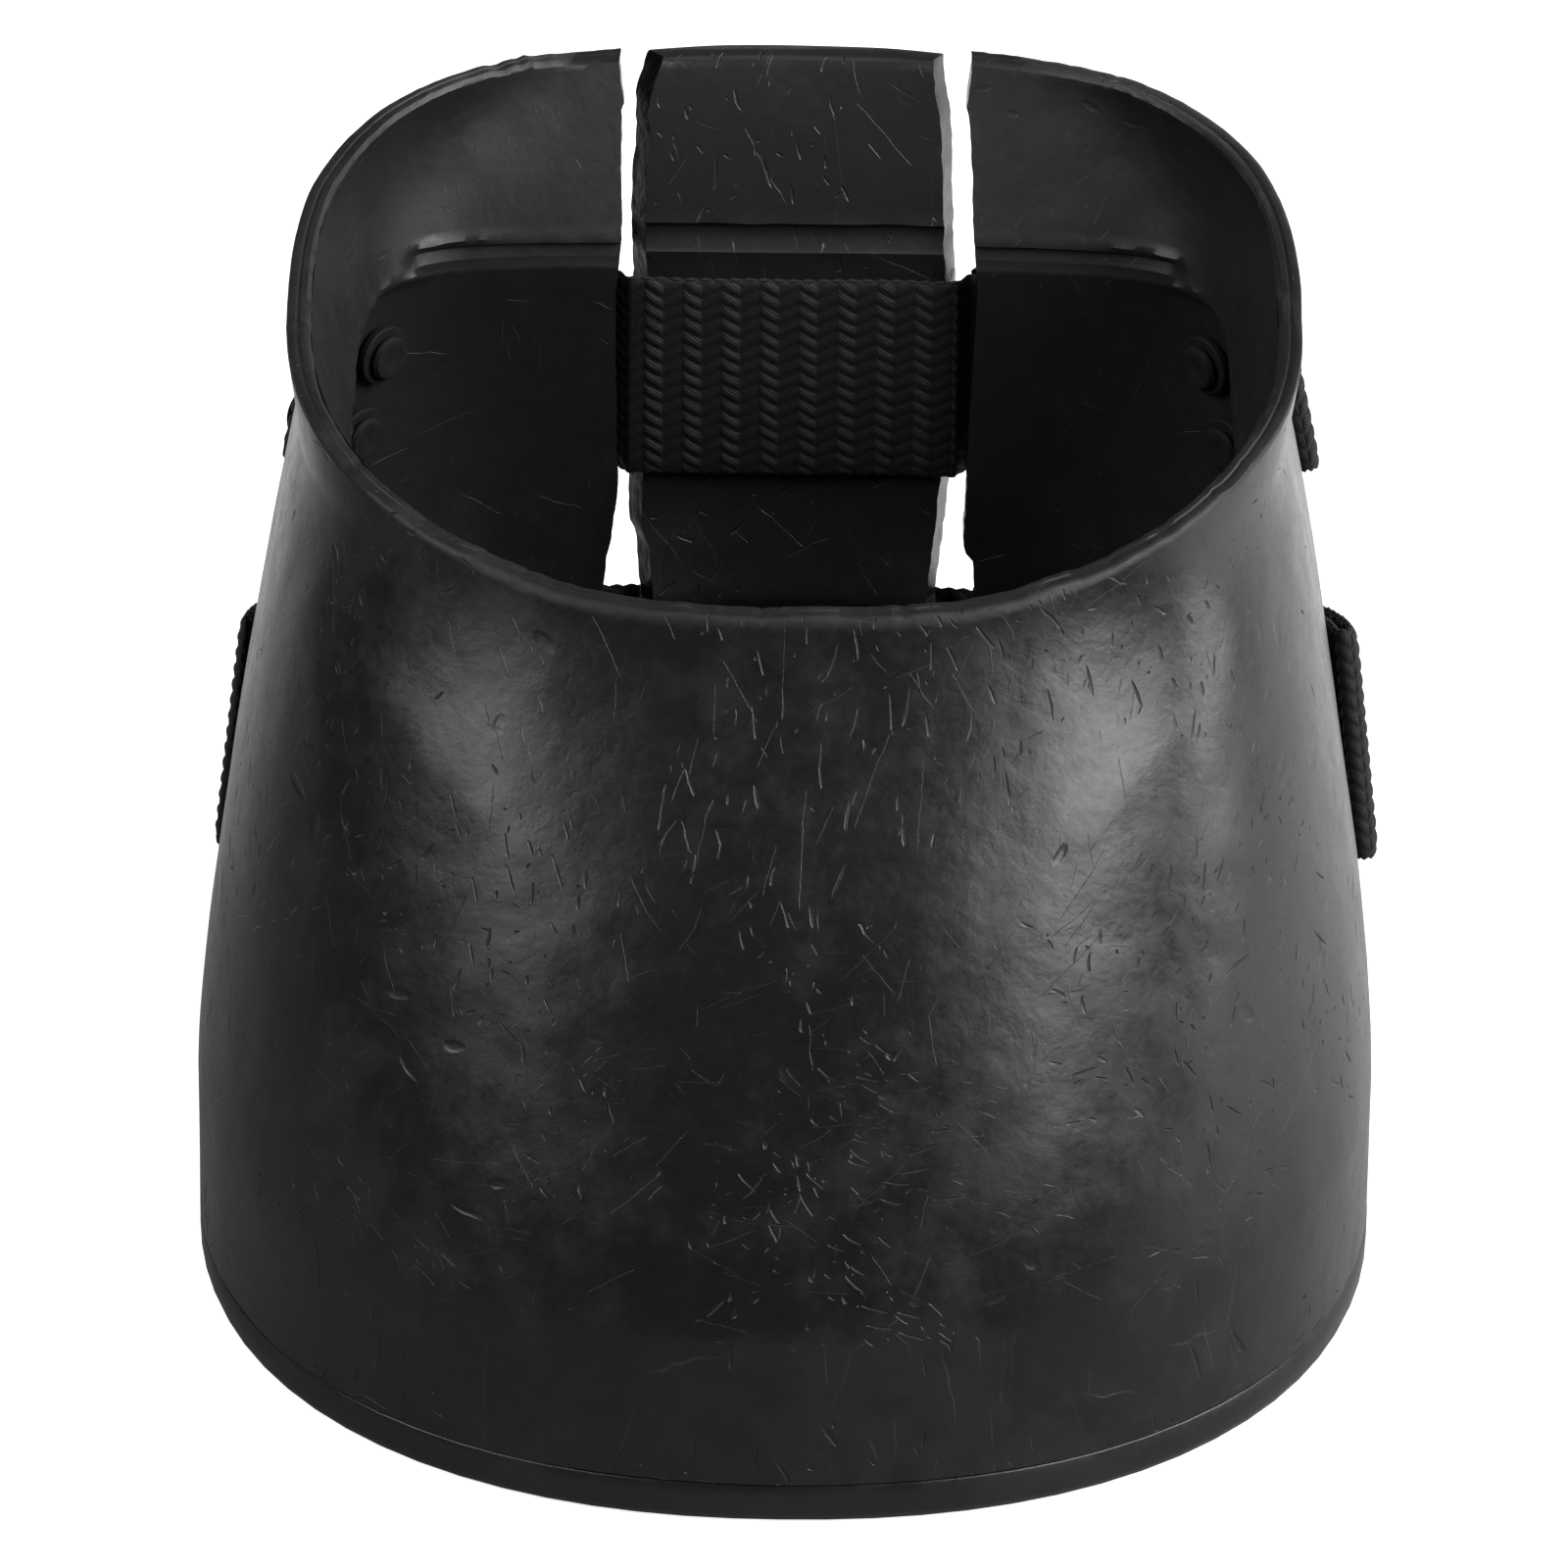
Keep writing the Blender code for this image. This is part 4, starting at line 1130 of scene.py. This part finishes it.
def sewn_seams(prefix, band, material):
    """Seam round the hook patch on the tail, and a seam across the tab beside the ring."""
    half = WEB_WIDTH / 2 - PATCH_MARGIN - SEAM_INSET
    start = band.patch_start - 0.001
    stop = band.tip + TAIL_CLIP + 0.0015
    distances = spread(start, stop, max(round((start - stop) / (ROW_STEP * 1.5)), 1))
    spots = stitch_spots(seam_corners(band, distances, TAIL_HEIGHT, half))
    stitches(prefix + "_tail_stitches", spots, prefix + "_tail", material)
    row = band.row(band.front_bar + TAB_TAPER + SEAM_INSET, GAP + WEB + LAYER_GAP + WEB)
    corners = [(row.middle + row.across * side * half, row.out) for side in (-1, 1)]
    stitches(prefix + "_tab_stitches", stitch_spots(corners), "shell", material)


def strap_system(prefix, band, rivet_inset, rivet_drop, looks, seed, drop=None):
    webbing_look, thread, steel, black_steel, pile, hooks = looks
    tail = prefix + "_tail"
    for number, (part, rows, body) in enumerate((
        ("strap", strap_rows(band, drop), "shell"),
        ("ring_tab", tab_rows(band), "shell"),
        ("strap_tail", tail_rows(band), tail),
    )):
        piece = webbing(f"{prefix}_{part}_webbing", rows, webbing_look, seed + number, part == "ring_tab")
        place_piece(piece, f"{prefix}_{part}", body)
    left = rivet_frames(band, rivet_inset - band.end, rivet_drop)
    right = rivet_frames(band, band.end - rivet_inset, rivet_drop)
    rivet_set(prefix + "_strap", left, GAP + WEB, black_steel)
    rivet_set(prefix + "_tab", right, GAP + 2 * WEB + LAYER_GAP, black_steel)
    wire_ring(prefix, band, steel)
    low, high = 2 * GAP + WEB, 3 * GAP + WEB + PATCH
    closure_patch(prefix + "_loop_patch", band, low, pile, "shell", LOOP_NAP, seed + 5)
    closure_patch(prefix + "_hook_patch", band, high, hooks, tail, HOOK_NAP, seed + 6)
    sewn_seams(prefix, band, thread)


# Rubber pieces


def swell(point):
    """Uneven surface of the hand-finished moulding."""
    return WAVE * rough(point, 0.022, 1) + WAVE * 0.35 * rough(point, 0.007, 2)


def torn(spot, seed):
    """Sideways waver that the knife left on a cut."""
    slow = CUT_ROUGHNESS * 0.5 * rough(spot, 0.009, seed)
    return slow + CUT_ROUGHNESS * 0.7 * rough(spot, 0.0016, seed + 1)


def wall_ring(heights, depths):
    """Ring in the wall. Its height and its depth are numbers, or worked out all the way round."""
    ring = []
    for angle in full_turn(ANGLE_STEPS):
        height = heights(angle) if callable(heights) else heights
        depth = depths(angle, height) if callable(depths) else depths
        point = wall_point(angle, height, depth)
        ring.append(wall_point(angle, height, depth + swell(point)))
    return ring


def groove(angle, height):
    """Depth cut into the inner face by the mould line across the heel, less its flash above."""
    above = height - WAIST_HEIGHT - GROOVE_START
    away = abs(angle - HEEL) / GROOVE_END
    if away > 1.05:
        stray = rough(Vector((angle * FLASH_RUN, height, 0)), 0.004, 5)
        return FLASH * 0.8 * bell(above, 0.0006) * max(stray + 0.3, 0)
    fade = ease((1.05 - away) / 0.08)
    inside = ease(above / GROOVE_EDGE) * ease((GROOVE_HEIGHT - above) / GROOVE_EDGE)
    flash = bell(above - GROOVE_HEIGHT - GROOVE_EDGE, GROOVE_EDGE)
    ragged = 0.6 + 0.9 * rough(Vector((angle * FLASH_RUN, 0, 0)), 0.0025, 6)
    return fade * (FLASH * flash * ragged - GROOVE_DEPTH * inside)


def ledge(angle, share):
    """How far the collar reaches inwards over the wall below: most at the corners, none at the toe."""
    turn = turn_from(HEEL, angle)
    back = ease((turn - LEDGE_BACK) / LEDGE_BACK_FADE)
    front = ease((LEDGE_FRONT - turn) / LEDGE_FRONT_FADE)
    spot = bearing(angle) * WAIST_HALF_WIDTH
    ragged = 1 + 0.1 * rough(spot, 0.006, 14) + 0.1 * rough(spot, 0.0018, 15)
    return LEDGE * back * front * (1 - share) ** LEDGE_CURVE * ragged


def collar_height(share, lift=0.0):
    return lambda angle: mix(collar_foot(angle), rim_height(angle), share) + lift


def body_height(share):
    return lambda angle: mix(WALL_FOOT_HEIGHT, collar_foot(angle), share)


def collar_depth(share):
    return lambda angle, height: mix(WALL, RIM_WALL, share) + groove(angle, height) + ledge(angle, share)


def rim_wobble(angle):
    """Uneven trim of the rim, with a few nicks and bits of flash left standing."""
    spot = bearing(angle) * 0.065
    flash = max(rough(spot, 0.0026, 16) - 0.42, 0) * 0.0016
    nick = max(rough(spot, 0.0031, 17) - 0.45, 0) * 0.0014
    return 0.00034 * rough(spot, 0.008, 3) + 0.00014 * rough(spot, 0.0018, 4) + (flash - nick)


def shell_rings():
    """Rings of the shell: up its outer face, over the rim, down the inner face and across the floor."""
    rings = [wall_ring(SHELL_BOTTOM, SEAM)]
    rings += [wall_ring(level, 0) for level in FOOT_LEVELS]
    rings += [wall_ring(body_height(step / OUTER_LEVELS), 0) for step in range(OUTER_LEVELS + 1)]
    rings += [wall_ring(collar_height(step / COLLAR_LEVELS), 0) for step in range(1, COLLAR_LEVELS)]
    for lift, depth in RIM_PROFILE:
        rings.append(wall_ring(lambda angle: collar_height(1, lift)(angle) + rim_wobble(angle), depth))
    for step in range(COLLAR_LEVELS * 2 - 1, 0, -1):
        share = step / COLLAR_LEVELS / 2
        rings.append(wall_ring(collar_height(share), collar_depth(share)))
    for rise, reach in LIP_PROFILE:
        rings.append(wall_ring(
            lambda angle: collar_foot(angle) + rise,
            lambda angle, height: WALL + ledge(angle, 0) * reach,
        ))
    rings += [wall_ring(body_height(step / INNER_LEVELS), WALL) for step in range(INNER_LEVELS - 1, -1, -1)]
    return rings + [wall_ring(SHELL_BOTTOM + FLOOR, WALL)]


def slit_edges(height):
    """Places across the heel of the left flap, the tongue's two sides and the right flap at a height."""
    for above, below in zip(SLIT_CUTS, SLIT_CUTS[1:]):
        if height >= below[0]:
            share = min((height - below[0]) / (above[0] - below[0]), 1)
            return [mix(low, high, share) for low, high in zip(below[1:], above[1:])]
    return SLIT_CUTS[-1][1:]


def window_outline():
    """Outline across the heel of the window for the slits and the tongue, each slit with a round foot."""
    flap_left, tongue_left, tongue_right, flap_right = SLIT_CUTS[-1][1:]
    top = RIM_HEEL_HEIGHT + OVERRUN
    outline = [(tongue_left, TONGUE_ROOT), (tongue_right, TONGUE_ROOT)]
    outline += slit_foot(tongue_right, flap_right)
    outline += [(cut[4], cut[0]) for cut in reversed(SLIT_CUTS)]
    outline += [(SLIT_CUTS[0][4], top), (SLIT_CUTS[0][1], top)]
    outline += [(cut[1], cut[0]) for cut in SLIT_CUTS]
    return outline + slit_foot(flap_left, tongue_left)


def slit_foot(start, stop):
    """Round foot of a slit, from its lower left round to its lower right."""
    middle = (start + stop) / 2
    radius = (stop - start) / 2
    turns = [pi + pi * step / FOOT_STEPS for step in range(FOOT_STEPS + 1)]
    return [(middle + radius * cos(turn), TONGUE_ROOT + radius * sin(turn) - GAP) for turn in turns]


def resampled(points, step):
    made = []
    for (x, z), (next_x, next_z) in zip(points, points[1:]):
        count = max(round(hypot(next_x - x, next_z - z) / step), 1)
        for index in range(count):
            made.append((mix(x, next_x, index / count), mix(z, next_z, index / count)))
    made.append(points[-1])
    return made


def window_cutter():
    """Rough-cut window for the slits and the tongue."""
    corners = window_outline()
    outline = resampled(corners + corners[:1], CUT_STEP)[:-1]
    inside = WAIST_HEEL_REACH - WALL - OVERRUN
    outside = RIM_HEEL_REACH + OVERRUN
    count = round((outside - inside) / (CUT_STEP * 2))
    rings = []
    for y in spread(inside, outside, count):
        ring = []
        for x, z in outline:
            root = z < TONGUE_ROOT + GAP and abs(x) < TONGUE_HALF_WIDTH
            shift = 0 if root else torn(Vector((x, y, z)), 8)
            ring.append(Vector((x + shift, y, z + shift * 0.5)))
        rings.append(ring)
    return linked("window_cutter", loft("window_cutter", rings))


def boot_shell(material):
    def layer(row, index):
        return (tau * index / ANGLE_STEPS * BASE_HALF_WIDTH, row * UV_ROW)

    shell = new_object("rubber_shell", loft("rubber_shell", shell_rings(), layer), material)
    cut(shell, window_cutter())
    smooth(shell, 40)
    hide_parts("boot_shell")
    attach(shell, "shell")


def tongue_bow(height):
    """How far the tongue stands out from the wall's own line, so that the upper strap passes inside it."""
    strap_low = UPPER_HEEL_HEIGHT - WEB_WIDTH / 2
    strap_high = UPPER_HEEL_HEIGHT + WEB_WIDTH / 2
    full = WALL + LAYER_GAP + GAP + WEB - STRAP_DIP + 2 * GAP
    if height < strap_low:
        return full * sin(pi / 2 * (height - TONGUE_ROOT) / (strap_low - GAP - TONGUE_ROOT))
    return mix(full, -TONGUE_TOP_LEAN, ease((height - strap_high) / (RIM_HEEL_HEIGHT - strap_high)))


def tongue_section(height, wall, top_cut=0.0):
    _, left, right, _ = slit_edges(height)
    bow = tongue_bow(max(height, TONGUE_ROOT))
    outer = []
    inner = []
    for index in range(TONGUE_COLUMNS + 1):
        share = mix(-1, 1, index / TONGUE_COLUMNS)
        angle = atan2(WAIST_HEEL_REACH - WAIST_CENTRE, TONGUE_HALF_WIDTH * share)
        for points, depth, slant in ((outer, top_cut, 0), (inner, wall - top_cut, TONGUE_SLANT)):
            x = mix(left + slant * 1.3, right - slant * 0.9, index / TONGUE_COLUMNS)
            point = wall_point(angle, height, depth)
            shift = torn(Vector((x, depth, height)), 11) * abs(share) ** 10
            line = groove(HEEL + share * 0.2, height) if depth and not top_cut else 0
            points.append(Vector((x + shift, point.y + bow - (swell(point) + line), height)))
    return outer + inner[::-1]


def heel_tongue(material, cut_rubber):
    """Tongue that grows out of the shell, its root sunk a little into the wall so that no seam shows."""
    root = TONGUE_ROOT - GAP * 2
    top = RIM_HEEL_HEIGHT - RIM_ROUND
    heights = spread(root, top, round((top - root) / TONGUE_STEP))
    rings = [tongue_section(height, wall_at(height)) for height in heights]
    rings.append(tongue_section(RIM_HEEL_HEIGHT, RIM_WALL, RIM_ROUND))

    def layer(row, index):
        return (index * 0.0018, row * TONGUE_STEP)

    tongue = new_object("rubber_tongue", loft("rubber_tongue", rings, layer), material)
    tongue.data.materials.append(cut_rubber)
    # Faces turned to the left, the tongue's left cut face, take the darker cut rubber: painted shadow
    for face in tongue.data.polygons:
        if face.normal.x < -0.6:
            face.material_index = 1
    smooth(tongue, 40)
    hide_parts("heel_tongue")
    heel = outer_point(HEEL, TONGUE_ROOT)
    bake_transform(tongue)


def tread_sole(material):
    """Sole slab with its chevron tread, copied from the outsole and shaded smooth."""
    node = frame["nodes"]["outsole"]
    sole = new_object("rubber_sole", node.data.copy(), material)
    sole.data.transform(node.matrix_world)
    sole.data.materials.clear()
    sole.data.materials.append(material)
    builder = bmesh.new()
    builder.from_mesh(sole.data)
    bmesh.ops.remove_doubles(builder, verts=builder.verts, dist=SAME_POINT)
    builder.to_mesh(sole.data)
    builder.free()
    smooth(sole, 30)
    place_piece(sole, "outsole", "shell")


# Stage


def studio():
    bpy.ops.mesh.primitive_plane_add(size=12)
    ground = bpy.context.object
    ground.name = "floor"
    graph = Graph("floor_white")
    seen = graph.node("LightPath")
    across, along, _ = graph.split(graph.place())
    # To the camera the floor is even white. To other rays it is darker in front and paler behind, painted
    # shade on the boot's front, and behind the boot it glows in reflections, a painted reflection
    behind = graph.step(along + across * 0.6, -0.15, 0.35)
    plain = graph.colour((0.22, 0.22, 0.22), (0.62, 0.62, 0.62), behind)
    mirrored = graph.math("MAXIMUM", graph.node("LightPath", output=3), graph.node("LightPath", output=6))
    lit = graph.math("MAXIMUM", seen, mirrored * behind)
    glow = graph.colour((0, 0, 0), (1, 1, 1), lit)
    others = {"Specular IOR Level": 0.0, "Emission Color": glow, "Emission Strength": 0.7}
    ground.data.materials.append(graph.look(graph.colour(plain, (0.93, 0.93, 0.93), seen), 0.9, others))
    world = bpy.data.worlds.new("studio")
    bpy.context.scene.world = world
    world.use_nodes = True
    background = world.node_tree.nodes["Background"]
    background.inputs["Color"].default_value = (1, 1, 1, 1)
    background.inputs["Strength"].default_value = 0.06
    for name, side, height, distance, width, tall, power in LIGHTS:
        side, height = radians(side), radians(height)
        place = Vector((sin(side) * cos(height), -cos(side) * cos(height), sin(height)))
        place = place * distance + LIGHTS_AIM
        lamp = bpy.data.lights.new(name, "AREA")
        lamp.shape = "RECTANGLE"
        lamp.size = width
        lamp.size_y = tall
        lamp.energy = power
        thing = linked(name, lamp)
        thing.location = place
        thing.rotation_euler = (LIGHTS_AIM - place).to_track_quat("-Z", "Y").to_euler()


def camera():
    elevation = radians(29)
    distance = 1.6
    tilt = Matrix.Rotation(radians(0.7), 3, "Z")
    back = Vector((0, -cos(elevation), sin(elevation)))
    up = Vector((0, sin(elevation), cos(elevation)))
    aim = Vector((-0.0006, 0, 0.06)) + up * 0.0027
    data = bpy.data.cameras.new("camera")
    data.sensor_width = 36
    data.lens = 290.9
    thing = linked("camera", data)
    thing.location = aim + back * distance
    thing.rotation_euler = ((-back).to_track_quat("-Z", "Y").to_matrix() @ tilt).to_euler()
    bpy.context.scene.camera = thing


def main():
    camera()
    studio()
    bpy.context.scene.view_settings.view_transform = "Standard"
    rubber = rubber_material("moulded_rubber")
    sole_rubber = rubber_material("tread_rubber", SOLE_TINT, on_wall=False)
    webbing_look = webbing_material("woven_webbing")
    boot_shell(rubber)
    # Tongue rubber: the wall's rubber with its marks, painted paler as light on the tongue
    tongue_rubber = rubber_material("scratched_rubber_painted_lighter", TONGUE_PAINTED_LIGHT_TINT)
    cut_rubber = rubber_material("knife_cut_rubber_painted_shadow", CUT_PAINTED_SHADOW_TINT, on_wall=False, cut_face=True)
    heel_tongue(tongue_rubber, cut_rubber)
    upper_sizes = (UPPER_STRAP_REACH, UPPER_TAB_LENGTH, UPPER_TAIL_LENGTH)
    upper = Band(UPPER_HEEL_HEIGHT, UPPER_STRAP_RISE, UPPER_RISE_END, *upper_sizes)
    lower_sizes = (LOWER_STRAP_REACH, LOWER_TAB_LENGTH, LOWER_TAIL_LENGTH)
    lower = Band(LOWER_HEEL_HEIGHT, LOWER_STRAP_RISE, LOWER_RISE_END, *lower_sizes)
    steel = metal_material("plated_steel_look", (0.58, 0.58, 0.59), 0.3)
    black_steel = metal_material("black_oxide_look", (0.01, 0.0098, 0.0096), 0.72, 0.0, 0.22)
    pile = pile_material("loop_pile_look", 0.0011, 0.85)
    hooks = pile_material("hook_tape_look", 0.0009, 0.6)
    thread = thread_material("waxed_thread")
    looks = (webbing_look, thread, steel, black_steel, pile, hooks)
    strap_system("upper", upper, UPPER_RIVET_INSET, UPPER_RIVET_DROP, looks, 21, heel_dip)
    strap_system("lower", lower, LOWER_RIVET_INSET, LOWER_RIVET_DROP, looks, 31)
    tread_sole(sole_rubber)


main()
